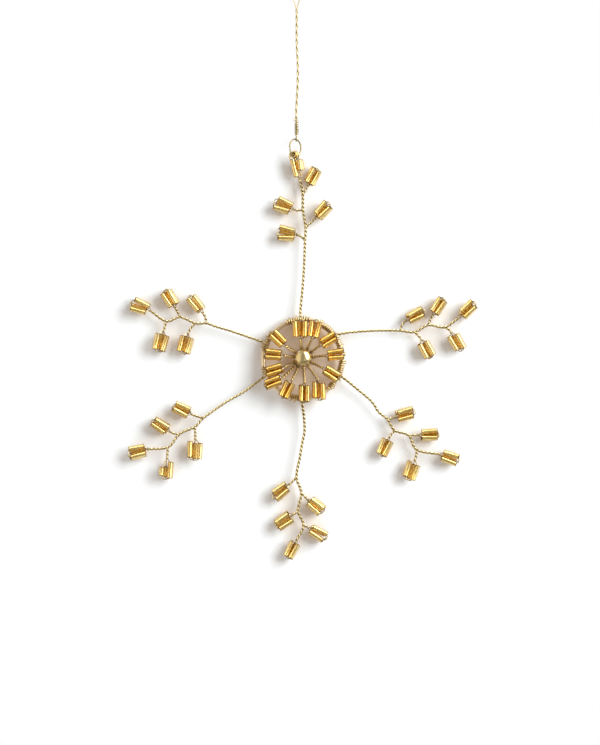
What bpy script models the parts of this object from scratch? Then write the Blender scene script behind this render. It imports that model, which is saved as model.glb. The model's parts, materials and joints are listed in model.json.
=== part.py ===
"""Hanging snowflake ornament: a brass ring and ball, six twisted-wire arms and bundles of bugle beads.

The picture plane of the snowflake is XZ, its front faces -Y, and +Z is up. The origin is the inside
of the hanging loop's bend, where a hook carries the ornament. Sizes are in millimetres and become
metres through MM.
"""

import math

import bmesh
import bpy
from mathutils import Matrix, Vector

MM = 0.001

# Clearances
SEAT_GAP = 0.3
WINDING_GAP = 0.3
WRAP_GAP = 0.2

# Hub
RING_OUTER_DIAMETER = 31.1
RING_WIRE_DIAMETER = 1.7
BALL_DIAMETER = 7.1
BALL_OFF_CENTRE = (0.2, 0.4)
KNOT_RADIUS = 1.3
KNOT_FLATTENING = 0.6
KNOT_BEHIND = 0.8
SPOKE_DIAMETER = 0.85
SPOKE_BEND_RADIUS = 3.4
SPOKE_BEND_BEHIND = 0.2

# Bugle beads and the wire loops through them
BEAD_LENGTH = 6.0
BEAD_DIAMETER = 1.9
BEAD_STEP = 2.0
ARM_FRONT_SPREAD = 3.5
HUB_FRONT_SPREAD = 2.7
LOOP_WIRE_DIAMETER = 0.4
LOOP_ARCH = 1.0
HANGING_ARCH = 2.7
LOOP_NECK = 1.3
LOOP_NECK_SPREAD = 0.3
LOOP_BEND_DEPTH = 0.3
TWIST_END = LOOP_NECK + LOOP_WIRE_DIAMETER / 2 + SEAT_GAP

# Arms of two twisted strands
ARM_REACH = 60.0
ARM_DIAMETER = 1.05
TWIG_DIAMETER = 0.95
WINDING_WIRE_DIAMETER = 0.42
WINDING_PITCH = 1.2
WINDING_POINTS = 8

# Jump ring
JUMP_RING_DIAMETER = 7.1
JUMP_RING_WIRE = 0.55
JUMP_RING_TURN = 50
JUMP_RING_OPENING = 9
JUMP_RING_SPLIT = 185
JUMP_RING_OVER_BEADS = 0.3
JUMP_RING_ASIDE = 0.7
JUMP_RING_POINTS = 26

# Hanger
HANGER_LENGTH = 46.4
HANGER_STRAND = 0.36
EYE_RADIUS = 0.85
EYE_OPENING = 60
EYE_NECK = 0.9
WRAP_PITCH = 0.95
WRAP_TURNS = 4
WRAP_POINTS = 8
HANGING_LOOP_HEIGHT = 14.2
HANGING_LOOP_WIDTH = 4.6

RING_RADIUS = (RING_OUTER_DIAMETER - RING_WIRE_DIAMETER) / 2
WINDING_RADIUS = (RING_WIRE_DIAMETER + WINDING_WIRE_DIAMETER) / 2 + WINDING_GAP
RIM_RADIUS = RING_RADIUS + WINDING_RADIUS
HUB_BEAD_FRONT = WINDING_RADIUS + WINDING_WIRE_DIAMETER / 2 + WINDING_GAP + BEAD_DIAMETER / 2
HANGER_DIAMETER = 2 * HANGER_STRAND
BEAD_SIDES = 6
RING_SIDES = 10
RING_STEPS = 40
BALL_SIDES = 18
KNOT_SIDES = 10

# How far a bundle's beads have slid outwards along their wire: the two front beads, then the two behind.
EVEN = (0.0, 0.0, 0.3, -0.2)
STEPPED = (0.0, 0.5, -0.2, 0.3)
SLIPPED = (0.2, -0.9, 0.1, -0.2)
LIFTED = (-0.3, 0.3, 0.4, 0.0)

# Each arm: where it leaves the ring, where it points, and points along and across it from the ring's rim,
# in hundredths of ARM_REACH.
# A twig's bundle gives the seat of its beads, the heading against the arm, the roll about its own axis
# and how its beads have slid.
ARMS = (
    {
        "name": "top", "bearing": 92, "aim": 90,
        "stem": ((2.3, 0.5), (16.0, -0.8), (29.8, -1.8), (41.5, -2.3)),
        "forks": ((47.2, -2.5), (55.5, -2.8), (66.5, -1.2), (75.8, -1.0)),
        "bundles": (
            (53.7, 3.8, 106, 0, EVEN),
            (62.3, -10.0, -42, -10, STEPPED),
            (67.8, 6.3, 72, 5, LIFTED),
            (82.7, -5.2, -25, 10, EVEN),
            (88.5, 2.0, 14, 0, SLIPPED),
        ),
        "winding": (5, 2),
    },
    {
        "name": "upper_left", "bearing": 157, "aim": 165,
        "stem": ((9.5, -0.8), (21.5, -1.5), (30.8, -1.7)),
        "forks": ((36.0, -2.5), (42.3, -0.2), (52.8, -1.3), (60.3, 3.0)),
        "bundles": (
            (41.5, -9.3, -38, 0, STEPPED),
            (45.2, 8.7, 90, 8, EVEN),
            (58.8, -7.2, -48, -8, EVEN),
            (60.5, 11.3, 92, 0, SLIPPED),
            (74.0, -1.5, -8, 0, LIFTED),
        ),
        "winding": (4, 1),
    },
    {
        "name": "lower_left", "bearing": 205, "aim": 212,
        "stem": ((15.0, 1.2), (29.8, 0.8)),
        "forks": ((43.7, 2.0), (52.2, 3.5), (62.2, 2.2), (72.2, 5.5)),
        "bundles": (
            (50.0, -5.5, -56, 6, EVEN),
            (56.5, 11.7, 58, 0, LIFTED),
            (66.7, -3.5, -56, -6, STEPPED),
            (77.8, 12.5, 58, 0, SLIPPED),
            (85.7, 0.0, -23, 5, EVEN),
        ),
        "winding": (3, 2),
    },
    {
        "name": "bottom", "bearing": 269, "aim": 270,
        "stem": ((8.8, 1.3), (18.2, 1.7), (25.7, 0.3), (35.2, -1.3)),
        "forks": ((47.0, -3.3), (56.8, -0.3), (68.0, -2.3), (77.2, 1.0)),
        "bundles": (
            (52.7, -8.8, -51, 0, LIFTED),
            (62.0, 4.7, 54, 6, EVEN),
            (71.0, -7.2, -53, -5, EVEN),
            (80.0, 5.0, 68, 0, STEPPED),
            (87.3, -4.0, -25, 5, STEPPED),
        ),
        "winding": (3, 2),
    },
    {
        "name": "lower_right", "bearing": 336, "aim": -38,
        "stem": ((4.2, 0.0), (11.7, -0.2), (24.3, -0.8), (32.0, -3.3)),
        "forks": ((39.0, -3.5), (47.0, -6.2), (55.8, -3.3), (65.3, -7.2)),
        "bundles": (
            (43.2, 1.7, 54, 0, STEPPED),
            (47.8, -13.3, -79, 8, EVEN),
            (62.2, 1.8, 38, -6, EVEN),
            (69.2, -14.5, -69, 0, LIFTED),
            (80.8, -0.5, 25, 0, EVEN),
        ),
        "winding": (4, 0),
    },
    {
        "name": "upper_right", "bearing": 36, "aim": 3,
        "stem": ((8.3, 0.5), (21.2, 0.8), (33.8, 0.3)),
        "forks": ((39.7, 0.2), (47.8, -1.5), (57.7, 1.8), (67.2, 0.0)),
        "bundles": (
            (45.2, 6.8, 28, 5, STEPPED),
            (52.8, -7.8, -62, 0, EVEN),
            (61.8, 9.7, 60, -6, EVEN),
            (71.7, -4.2, -61, 6, LIFTED),
            (77.7, 8.2, 34, 0, STEPPED),
        ),
        "winding": (4, 0),
    },
)

# Hub bundles: bearing of each one's middle, how far out it is in hundredths of the ring's radius, its
# heading and how its beads have slid.
HUB_BUNDLES = (
    (97, 76.2, 90, EVEN),
    (70, 83.0, 75, EVEN),
    (37, 79.6, 32, STEPPED),
    (8, 85.0, 3, EVEN),
    (-26, 83.0, -35, EVEN),
    (-63, 89.8, -88, LIFTED),
    (-88, 87.8, -90, EVEN),
    (-117, 87.8, -118, EVEN),
    (-139.5, 102.0, -150, EVEN),
    (-159.5, 78.2, -167, STEPPED),
    (169.5, 76.2, 174, EVEN),
    (139, 81.6, 135, EVEN),
)

# Extra binding wires: bearing of the first turn and how many turns.
RING_BINDINGS = ((17, 3), (-45, 2))

# The hanger's line up from the eye's neck, across and up, in hundredths of HANGER_LENGTH.
HANGER_ROUTE = ((0.0, 10), (-0.4, 19), (0.4, 32), (1.3, 45), (1.3, 56), (0.6, 67), (0.2, 80), (0.2, 90), (1.1, 100))
HANGER_POINT_STEP = 2.0

GOLD_WIRE = ("gold_wire", (0.72, 0.55, 0.26), 0.28, 1.0)
RING_BRASS = ("ring_brass", (0.72, 0.5, 0.3), 0.34, 1.0)
BALL_BRASS = ("polished_brass", (0.83, 0.62, 0.27), 0.08, 1.0)
AMBER_GLASS = ("amber_glass", (0.86, 0.52, 0.08), 0.12, 0.35)


def material_of(finish):
    """The Principled material of a finish, made once."""
    name, colour, roughness, metallic = finish
    found = bpy.data.materials.get(name)
    if found:
        return found
    made = bpy.data.materials.new(name)
    made.use_nodes = True
    shader = made.node_tree.nodes["Principled BSDF"]
    shader.inputs["Base Color"].default_value = (*colour, 1.0)
    shader.inputs["Roughness"].default_value = roughness
    shader.inputs["Metallic"].default_value = metallic
    return made


def pivot(name, at, parent=None):
    """An empty that carries the pieces of one moving group."""
    empty = bpy.data.objects.new(name, None)
    bpy.context.scene.collection.objects.link(empty)
    empty.parent = parent
    empty.location = Vector(at) * MM
    return empty


def piece(name, mesh, finish, parent, at=(0, 0, 0), turned=Matrix.Identity(3)):
    """A named sub-part, placed under its group's empty."""
    obj = bpy.data.objects.new(name, mesh)
    bpy.context.scene.collection.objects.link(obj)
    obj.parent = parent
    obj.location = Vector(at) * MM
    obj.rotation_euler = turned.to_euler()
    if not mesh.materials:
        mesh.materials.append(material_of(finish))
    mesh.shade_smooth()
    mesh.set_sharp_from_angle(angle=math.radians(50))
    return obj


def evaluated_mesh(obj):
    """The object's mesh as its bevel or modifiers make it."""
    bpy.context.view_layer.update()
    graph = bpy.context.evaluated_depsgraph_get()
    return bpy.data.meshes.new_from_object(obj.evaluated_get(graph), depsgraph=graph)


def tube(points, diameter, roundness=1):
    """A round wire through the points, closed at both ends, as a mesh."""
    line = bpy.data.curves.new("wire", "CURVE")
    line.dimensions = "3D"
    line.bevel_depth = diameter / 2 * MM
    line.bevel_resolution = roundness
    line.use_fill_caps = True
    spline = line.splines.new("POLY")
    spline.points.add(len(points) - 1)
    for slot, point in zip(spline.points, points):
        slot.co = (*(Vector(point) * MM), 1.0)
    holder = bpy.data.objects.new("wire", line)
    bpy.context.scene.collection.objects.link(holder)
    mesh = evaluated_mesh(holder)
    bpy.data.objects.remove(holder)
    bpy.data.curves.remove(line)
    return mesh


def fused(meshes):
    """One closed body from meshes that overlap."""
    scene = bpy.context.scene.collection
    others = bpy.data.collections.new("to_fuse")
    scene.children.link(others)
    body = bpy.data.objects.new("fusing", meshes[0])
    scene.objects.link(body)
    helpers = [body]
    for mesh in meshes[1:]:
        helper = bpy.data.objects.new("fusing", mesh)
        others.objects.link(helper)
        helpers.append(helper)
    join = body.modifiers.new("join", "BOOLEAN")
    join.operation = "UNION"
    join.solver = "EXACT"
    join.operand_type = "COLLECTION"
    join.collection = others
    result = evaluated_mesh(body)
    for helper in helpers:
        bpy.data.objects.remove(helper)
    bpy.data.collections.remove(others)
    return result


def heading_turn(degrees, roll=0):
    """Turns local +X to a heading in the picture plane, after a roll about +X."""
    return Matrix.Rotation(math.radians(-degrees), 3, "Y") @ Matrix.Rotation(math.radians(roll), 3, "X")


def in_picture(degrees, length):
    """A step of this length in the picture plane, 0 degrees to the right and 90 up."""
    return Vector((math.cos(math.radians(degrees)), 0, math.sin(math.radians(degrees)))) * length


def smooth_line(points, step):
    """Points about one step apart on a smooth curve through the given ones."""
    padded = [points[0] * 2 - points[1], *points, points[-1] * 2 - points[-2]]
    line = []
    for before, start, end, after in zip(padded, padded[1:], padded[2:], padded[3:]):
        pieces = max(1, round((end - start).length / step))
        for index in range(pieces):
            t = index / pieces
            line.append(
                0.5 * (2 * start + (end - before) * t
                       + (2 * before - 5 * start + 4 * end - after) * t ** 2
                       + (3 * start - before - 3 * end + after) * t ** 3)
            )
    line.append(points[-1])
    return line


def bead_mesh(middle):
    """A bugle bead along X."""
    shape = bmesh.new()
    bmesh.ops.create_cone(
        shape, cap_ends=True, segments=BEAD_SIDES,
        radius1=BEAD_DIAMETER / 2 * MM, radius2=BEAD_DIAMETER / 2 * MM, depth=BEAD_LENGTH * MM,
    )
    bmesh.ops.rotate(shape, matrix=Matrix.Rotation(math.radians(90), 3, "Y"), verts=shape.verts)
    bmesh.ops.translate(shape, vec=Vector(middle) * MM, verts=shape.verts)
    mesh = bpy.data.meshes.new("bead")
    shape.to_mesh(mesh)
    shape.free()
    return mesh


def loop_points(first, second, arch):
    """The wire up through one bead, over an arch and down through the other. It bends just inside them."""
    inside = Vector((LOOP_BEND_DEPTH, 0, 0))
    out = Vector((BEAD_LENGTH, 0, 0)) - inside
    top = max(first.x, second.x) + BEAD_LENGTH
    middle = (first + second) / 2
    reach = (second - first) / 2
    over = []
    for degrees in (60, 120):
        angle = math.radians(degrees)
        over.append(Vector((top + arch * math.sin(angle), middle.y, middle.z)) - reach * math.cos(angle))
    return [first + inside, first + out, *over, second + out, second + inside]


def step_back(front_spread):
    """How far behind the two front beads the two back beads lie, a step away from them."""
    return math.sqrt(BEAD_STEP ** 2 - ((front_spread - BEAD_STEP) / 2) ** 2)


def bundle_mesh(front_spread, slides, arch):
    """Two bugle beads in front and two behind, threaded on one wire that loops up and down through them.

    The beads lie along +X from their seat at the origin, side by side along Z, the front ones at -Y.
    """
    depth = step_back(front_spread) / 2
    sides = (-front_spread / 2, front_spread / 2, BEAD_STEP / 2, -BEAD_STEP / 2)
    depths = (-depth, -depth, depth, depth)
    ends = [Vector(place) for place in zip(slides, depths, sides)]
    spread = Vector((0, 0, LOOP_NECK_SPREAD))
    neck = Vector((-LOOP_NECK, 0, 0))
    wire = [
        neck - spread, *loop_points(ends[0], ends[1], arch),
        *loop_points(ends[2], ends[3], LOOP_ARCH), neck + spread,
    ]
    half = Vector((BEAD_LENGTH / 2, 0, 0))
    meshes = [tube(wire, LOOP_WIRE_DIAMETER, 0)]
    meshes += [bead_mesh(end + half) for end in ends]
    return fused(meshes)


bundle_shapes = {}


def bundle_shape(*kind):
    """Bundles of one kind share a mesh."""
    if kind not in bundle_shapes:
        bundle_shapes[kind] = bundle_mesh(*kind)
    return bundle_shapes[kind]


def winding_points(bearing, turns, first_turn):
    """A helix of wire round the ring's wire. Turn number first_turn is outermost at the bearing."""
    points = []
    for index in range(turns * WINDING_POINTS + 1):
        turn = index / WINDING_POINTS
        angle = 2 * math.pi * turn
        along = math.degrees((turn - first_turn) * WINDING_PITCH / RING_RADIUS)
        outwards = RING_RADIUS + WINDING_RADIUS * math.cos(angle)
        front = Vector((0, WINDING_RADIUS * math.sin(angle), 0))
        points.append(in_picture(bearing + along, outwards) + front)
    return points


def least_gap(points, points_per_turn, diameter):
    """The least distance between the surfaces of turns, measured on the points."""
    least = math.inf
    for index, point in enumerate(points):
        for other in points[index + points_per_turn - 2:]:
            least = min(least, (point - other).length - diameter)
    return least


def make_ring():
    shape = bmesh.new()
    bmesh.ops.create_circle(shape, segments=RING_SIDES, radius=RING_WIRE_DIAMETER / 2 * MM)
    bmesh.ops.translate(shape, vec=(RING_RADIUS * MM, 0, 0), verts=shape.verts)
    bmesh.ops.spin(
        shape, geom=shape.edges[:], cent=(0, 0, 0), axis=(0, 1, 0), angle=2 * math.pi,
        steps=RING_STEPS, use_merge=True,
    )
    bmesh.ops.recalc_face_normals(shape, faces=shape.faces)
    mesh = bpy.data.meshes.new("hub_ring")
    shape.to_mesh(mesh)
    shape.free()
    return mesh


def ball_shape(radius, sides, flattening=1.0):
    """A ball with its poles at the front and the back."""
    shape = bmesh.new()
    bmesh.ops.create_uvsphere(shape, u_segments=sides, v_segments=sides * 2 // 3, radius=radius * MM)
    bmesh.ops.rotate(shape, matrix=Matrix.Rotation(math.radians(90), 3, "X"), verts=shape.verts)
    bmesh.ops.scale(shape, vec=(1, flattening, 1), verts=shape.verts)
    mesh = bpy.data.meshes.new("ball")
    shape.to_mesh(mesh)
    shape.free()
    return mesh


def hub_seat(bearing, outwards, heading):
    """Where a hub bundle's beads start, in front of the ring and its windings."""
    forward = Vector((0, -(HUB_BEAD_FRONT + step_back(HUB_FRONT_SPREAD) / 2), 0))
    return in_picture(bearing, RING_RADIUS * outwards / 100) - in_picture(heading, BEAD_LENGTH / 2) + forward


def make_spokes(knot_at):
    """Twelve twisted spokes that rise from the knot behind the ball to the hub bundles."""
    knot = ball_shape(KNOT_RADIUS, KNOT_SIDES, KNOT_FLATTENING)
    knot.transform(Matrix.Translation(knot_at * MM))
    meshes = [knot]
    for bearing, outwards, heading, _ in HUB_BUNDLES:
        end = hub_seat(bearing, outwards, heading) - in_picture(heading, TWIST_END)
        lead = Vector((end.x - knot_at.x, 0, end.z - knot_at.z)).normalized()
        bend = knot_at + lead * SPOKE_BEND_RADIUS
        bend.y = SPOKE_BEND_BEHIND
        meshes.append(tube([knot_at, bend, end], SPOKE_DIAMETER))
    return fused(meshes)


def arm_place(arm, along, across):
    """A point of an arm's layout, in the hub's frame."""
    unit = ARM_REACH / 100
    root = in_picture(arm["bearing"], RIM_RADIUS)
    return root + in_picture(arm["aim"], along * unit) + in_picture(arm["aim"] + 90, across * unit)


def make_arm(arm):
    """The stem with its twigs and the winding that ties it to the ring, as one body."""
    ends = []
    for along, across, heading, _, _ in arm["bundles"]:
        ends.append(arm_place(arm, along, across) - in_picture(arm["aim"] + heading, TWIST_END))
    forks = [arm_place(arm, *fork) for fork in arm["forks"]]
    stem = [arm_place(arm, 0, 0), *(arm_place(arm, *point) for point in arm["stem"]), *forks]
    meshes = [tube([*stem, ends[-1]], ARM_DIAMETER)]
    for fork, end, bundle in zip(forks, ends, arm["bundles"]):
        lean = in_picture(arm["aim"] + bundle[2], (end - fork).length / 2)
        bend = end - lean
        route = [fork, fork * 0.25 + bend * 0.5 + end * 0.25, end]
        meshes.append(tube(route, TWIG_DIAMETER))
    turns, root_turn = arm["winding"]
    wound = winding_points(arm["bearing"], turns, root_turn)
    gap = least_gap(wound, WINDING_POINTS, WINDING_WIRE_DIAMETER)
    print(f"winding of arm_{arm['name']}: {turns} turns, least gap to itself {gap:.2f} mm")
    meshes.append(tube(wound, WINDING_WIRE_DIAMETER))
    return fused(meshes)


def jump_ring_points():
    """The jump ring about its own centre: turned about the vertical, with its split at the left."""
    tangent = Matrix.Rotation(math.radians(JUMP_RING_TURN), 3, "Z") @ Vector((1, 0, 0))
    radius = (JUMP_RING_DIAMETER - JUMP_RING_WIRE) / 2
    points = []
    for index in range(JUMP_RING_POINTS + 1):
        sweep = (360 - JUMP_RING_OPENING) * index / JUMP_RING_POINTS
        angle = math.radians(JUMP_RING_SPLIT + JUMP_RING_OPENING / 2 + sweep)
        points.append(tangent * radius * math.cos(angle) + Vector((0, 0, radius * math.sin(angle))))
    return points


def eye_points():
    """The hanger's lower end about the jump ring's wire: a wrap round the hanger, a neck and the eye."""
    tangent = Matrix.Rotation(math.radians(JUMP_RING_TURN), 3, "Z") @ Vector((1, 0, 0))
    sideways = Matrix.Rotation(math.radians(JUMP_RING_TURN + 90), 3, "Z") @ Vector((1, 0, 0))
    radius = (HANGER_DIAMETER + HANGER_STRAND) / 2 + WRAP_GAP
    foot = EYE_RADIUS + EYE_NECK
    points = []
    for index in range(WRAP_TURNS * WRAP_POINTS + 1):
        turn = WRAP_TURNS - index / WRAP_POINTS
        angle = 2 * math.pi * turn
        swing = sideways * math.cos(angle) + tangent * math.sin(angle)
        points.append(swing * radius + Vector((0, 0, foot + turn * WRAP_PITCH)))
    for index in range(9):
        angle = math.radians(90 - EYE_OPENING / 2 - (360 - EYE_OPENING) * index / 8)
        points.append((sideways * math.cos(angle) + Vector((0, 0, math.sin(angle)))) * EYE_RADIUS)
    return points


def hanging_loop_points():
    """An open drop-shaped loop, its bend at the top at the origin, its two strands meeting below."""
    half = HANGING_LOOP_WIDTH / 2
    foot = -HANGING_LOOP_HEIGHT
    strand = HANGER_STRAND
    left = [Vector((-strand, 0, foot)), Vector((-strand * 1.2, 0, foot * 0.92)),
            Vector((-half * 0.7, 0, foot * 0.62)), Vector((-half, 0, foot * 0.32)),
            Vector((-half * 0.75, 0, foot * 0.08))]
    top = Vector((0, 0, strand / 2))
    right = [Vector((-point.x, 0, point.z)) for point in reversed(left)]
    return smooth_line([*left, top, *right], HANGER_POINT_STEP)


def main():
    for old in list(bpy.data.objects):
        bpy.data.objects.remove(old)

    # Places up the hanging chain, in the hub's own frame.
    top = ARMS[0]
    along, across, heading = top["bundles"][-1][:3]
    beads_end = arm_place(top, along, across) + in_picture(top["aim"] + heading, BEAD_LENGTH)
    jump_radius = (JUMP_RING_DIAMETER - JUMP_RING_WIRE) / 2
    reach = in_picture(top["aim"] + heading, JUMP_RING_OVER_BEADS + JUMP_RING_WIRE)
    front_arch = Vector((0, -step_back(ARM_FRONT_SPREAD) / 2, 0))
    jump_centre = beads_end + reach + front_arch + Vector((JUMP_RING_ASIDE, 0, jump_radius))
    eye_centre = jump_centre + Vector((0, 0, jump_radius + EYE_RADIUS - HANGER_STRAND / 2
                                       - JUMP_RING_WIRE / 2 - SEAT_GAP))
    neck = eye_centre + Vector((0, 0, EYE_RADIUS + EYE_NECK))
    route = [neck, *(neck + Vector((x, 0, z)) * (HANGER_LENGTH / 100) for x, z in HANGER_ROUTE)]
    hanger_top = route[-1]
    origin = hanger_top + Vector((0, 0, SEAT_GAP + HANGING_LOOP_HEIGHT))

    hook = pivot("hook_point", (0, 0, 0))
    piece("hanging_loop", tube(hanging_loop_points(), HANGER_STRAND, 1), GOLD_WIRE, hook)

    hanger = pivot("hanger_pivot", hanger_top - origin, hook)
    line = [point - hanger_top for point in smooth_line(route, HANGER_POINT_STEP)]
    piece("hanger_wire", tube(line, HANGER_DIAMETER, 2), GOLD_WIRE, hanger)
    eye_line = eye_points()
    gap = least_gap(eye_line[:WRAP_TURNS * WRAP_POINTS + 1], WRAP_POINTS, HANGER_STRAND)
    print(f"wrap of hanger_eye: {WRAP_TURNS} turns, least gap to itself {gap:.2f} mm")
    piece("hanger_eye", tube(eye_line, HANGER_STRAND), GOLD_WIRE, hanger, eye_centre - hanger_top)

    swing = pivot("jump_ring_pivot", jump_centre + Vector((0, 0, jump_radius)) - hanger_top, hanger)
    piece("jump_ring", tube(jump_ring_points(), JUMP_RING_WIRE), GOLD_WIRE, swing, (0, 0, -jump_radius))

    sway = pivot("sway_pivot", (0, 0, -jump_radius), swing)
    hub = pivot("hub_centre", -jump_centre, sway)
    piece("hub_ring", make_ring(), RING_BRASS, hub)
    knot_at = Vector((BALL_OFF_CENTRE[0], KNOT_BEHIND, BALL_OFF_CENTRE[1]))
    piece("hub_spokes", make_spokes(knot_at), GOLD_WIRE, hub)
    ball_back = KNOT_RADIUS * KNOT_FLATTENING + SEAT_GAP + BALL_DIAMETER / 2
    piece("centre_ball", ball_shape(BALL_DIAMETER / 2, BALL_SIDES), BALL_BRASS, hub, knot_at - Vector((0, ball_back, 0)))
    for number, (bearing, outwards, heading, slides) in enumerate(HUB_BUNDLES, 1):
        shape = bundle_shape(HUB_FRONT_SPREAD, slides, LOOP_ARCH)
        seat = hub_seat(bearing, outwards, heading)
        piece(f"hub_beads_{number:02d}", shape, AMBER_GLASS, hub, seat, heading_turn(heading))
    for number, (bearing, turns) in enumerate(RING_BINDINGS, 1):
        wound = winding_points(bearing, turns, 0)
        gap = least_gap(wound, WINDING_POINTS, WINDING_WIRE_DIAMETER)
        print(f"ring_binding_{number}: {turns} turns, least gap to itself {gap:.2f} mm")
        piece(f"ring_binding_{number}", tube(wound, WINDING_WIRE_DIAMETER), GOLD_WIRE, hub)

    for arm in ARMS:
        piece(f"arm_{arm['name']}", make_arm(arm), GOLD_WIRE, hub)
        for number, (along, across, heading, roll, slides) in enumerate(arm["bundles"], 1):
            hangs = arm is ARMS[0] and number == len(arm["bundles"])
            arch = HANGING_ARCH if hangs else LOOP_ARCH
            shape = bundle_shape(ARM_FRONT_SPREAD, slides, arch)
            turned = heading_turn(arm["aim"] + heading, roll)
            seat = arm_place(arm, along, across)
            piece(f"arm_{arm['name']}_beads_{number}", shape, AMBER_GLASS, hub, seat, turned)


main()
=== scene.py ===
# %% [markdown]
# # A hanging snowflake of twisted gold wire and bugle beads
#
# The ornament is a brass ring with a polished ball in its middle. Six branched arms of twisted wire grow
# from the ring, and every twig ends in a bundle of amber glass bugle beads. It hangs from a small jump ring
# and a twisted hanger. The plain solids of all this are loaded first as a fixed frame. Each cell after that
# dresses one kind of piece: wires get their two twisted strands, beads get real glass over a silvered
# lining, and so on.

# %% Load the fixed frame
import json
import math
import random

import bmesh
import bpy
from mathutils import Matrix, Vector


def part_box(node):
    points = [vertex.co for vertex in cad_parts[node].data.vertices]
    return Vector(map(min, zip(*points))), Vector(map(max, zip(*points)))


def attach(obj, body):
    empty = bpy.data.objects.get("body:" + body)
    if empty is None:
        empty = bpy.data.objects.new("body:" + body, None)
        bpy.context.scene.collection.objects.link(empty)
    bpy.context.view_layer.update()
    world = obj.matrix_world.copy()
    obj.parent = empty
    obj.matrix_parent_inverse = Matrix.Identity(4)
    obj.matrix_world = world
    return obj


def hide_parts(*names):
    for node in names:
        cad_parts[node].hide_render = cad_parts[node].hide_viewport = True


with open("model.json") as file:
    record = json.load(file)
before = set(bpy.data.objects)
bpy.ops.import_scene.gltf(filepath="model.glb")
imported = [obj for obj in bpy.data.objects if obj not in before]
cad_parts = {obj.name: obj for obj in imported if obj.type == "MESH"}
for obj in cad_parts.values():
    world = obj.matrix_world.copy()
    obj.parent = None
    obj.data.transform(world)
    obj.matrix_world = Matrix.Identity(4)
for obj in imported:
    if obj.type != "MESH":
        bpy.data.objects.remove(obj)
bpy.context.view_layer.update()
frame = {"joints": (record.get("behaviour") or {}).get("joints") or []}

MM = 0.001

# %% [markdown]
# ## Where things are
#
# The snowflake lies in the XZ plane and faces -Y. Everything on it is easiest to place from the middle of
# the ring, so that point is read from the ring's box. Directions in the picture are plain compass angles,
# with 0 to the right and 90 up. All lengths in this script are millimetres until a mesh is made.

# %% The hub's centre and directions in the picture
ring_low, ring_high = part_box("hub_ring")
HUB = (Vector(ring_low) + Vector(ring_high)) / 2 / MM
print("hub centre", [round(value, 2) for value in HUB], "mm")


def in_picture(degrees, length=1.0):
    """A step of this length in the picture plane."""
    angle = math.radians(degrees)
    return Vector((math.cos(angle), 0, math.sin(angle))) * length


# %% [markdown]
# ## Camera
#
# The photograph looks straight at the snowflake. A long lens from over a metre away gives nearly parallel
# lines, as in the picture. The image is 600 by 745 pixels, and one pixel covers 0.375 mm at the snowflake,
# which sets how wide the lens must be. The camera's place comes from the pixel that the hub's centre falls
# on.

# %% Place the camera
PIXEL = 0.375
IMAGE = (600, 745)
HUB_PIXEL = (302.5, 359.0)
CAMERA_DISTANCE = 1100.0
SENSOR = 36.0

camera_data = bpy.data.cameras.new("picture_camera")
camera_data.sensor_width = SENSOR
camera_data.lens = SENSOR * CAMERA_DISTANCE / (IMAGE[1] * PIXEL)
camera_data.clip_end = 10
camera = bpy.data.objects.new("picture_camera", camera_data)
bpy.context.scene.collection.objects.link(camera)
aside = (IMAGE[0] / 2 - HUB_PIXEL[0]) * PIXEL
down = (IMAGE[1] / 2 - HUB_PIXEL[1]) * PIXEL
camera.location = (HUB + Vector((aside, -CAMERA_DISTANCE, -down))) * MM
camera.rotation_euler = (math.radians(90), 0, 0)
bpy.context.scene.camera = camera
print("lens", round(camera_data.lens, 1), "mm")

# %% [markdown]
# ## Wire
#
# Every wire of the ornament is drawn the same way: a line of points gets a round section. A curve with a
# bevel does this well, because it keeps the section round through any bend. Many lines go into one curve,
# and each point's radius sets how thick its wire is, so one arm with all its strands is a single mesh. One
# smaller section beyond each end softens the tip, as a side cutter and a little wear leave it.

# %% Draw wires, and smooth a line
WIRE_SIDES = 8
TIP_LENGTH = 0.22
TIP_WIDTH = 0.6
SHARP_FROM = math.radians(70)


def own_place(name, mesh, material):
    """An object for a finished mesh. Its place is in the mesh, so the object stays at the origin."""
    obj = bpy.data.objects.new(name, mesh)
    bpy.context.scene.collection.objects.link(obj)
    if material and not mesh.materials:
        mesh.materials.append(material)
    return obj


def wires(name, lines, sides=WIRE_SIDES):
    """One mesh of round wires with tapered tips. Each line is its points and its diameter, in millimetres."""
    drawing = bpy.data.curves.new(name, "CURVE")
    drawing.dimensions = "3D"
    drawing.bevel_depth = MM / 2
    drawing.bevel_resolution = sides // 2 - 2
    drawing.use_fill_caps = True
    for points, diameter in lines:
        first, last = points[0], points[-1]
        tip = diameter * TIP_LENGTH
        start = first + (first - points[1]).normalized() * tip
        end = last + (last - points[-2]).normalized() * tip
        spline = drawing.splines.new("POLY")
        spline.points.add(len(points) + 1)
        radii = [diameter * TIP_WIDTH, *([diameter] * len(points)), diameter * TIP_WIDTH]
        for place, point, radius in zip(spline.points, [start, *points, end], radii):
            place.co = (*(point * MM), 1.0)
            place.radius = radius
    holder = bpy.data.objects.new(name, drawing)
    bpy.context.scene.collection.objects.link(holder)
    bpy.context.view_layer.update()
    graph = bpy.context.evaluated_depsgraph_get()
    mesh = bpy.data.meshes.new_from_object(holder.evaluated_get(graph), depsgraph=graph)
    bpy.data.objects.remove(holder)
    bpy.data.curves.remove(drawing)
    mesh.name = name
    mesh.shade_smooth()
    mesh.set_sharp_from_angle(angle=SHARP_FROM)
    return mesh


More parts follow.
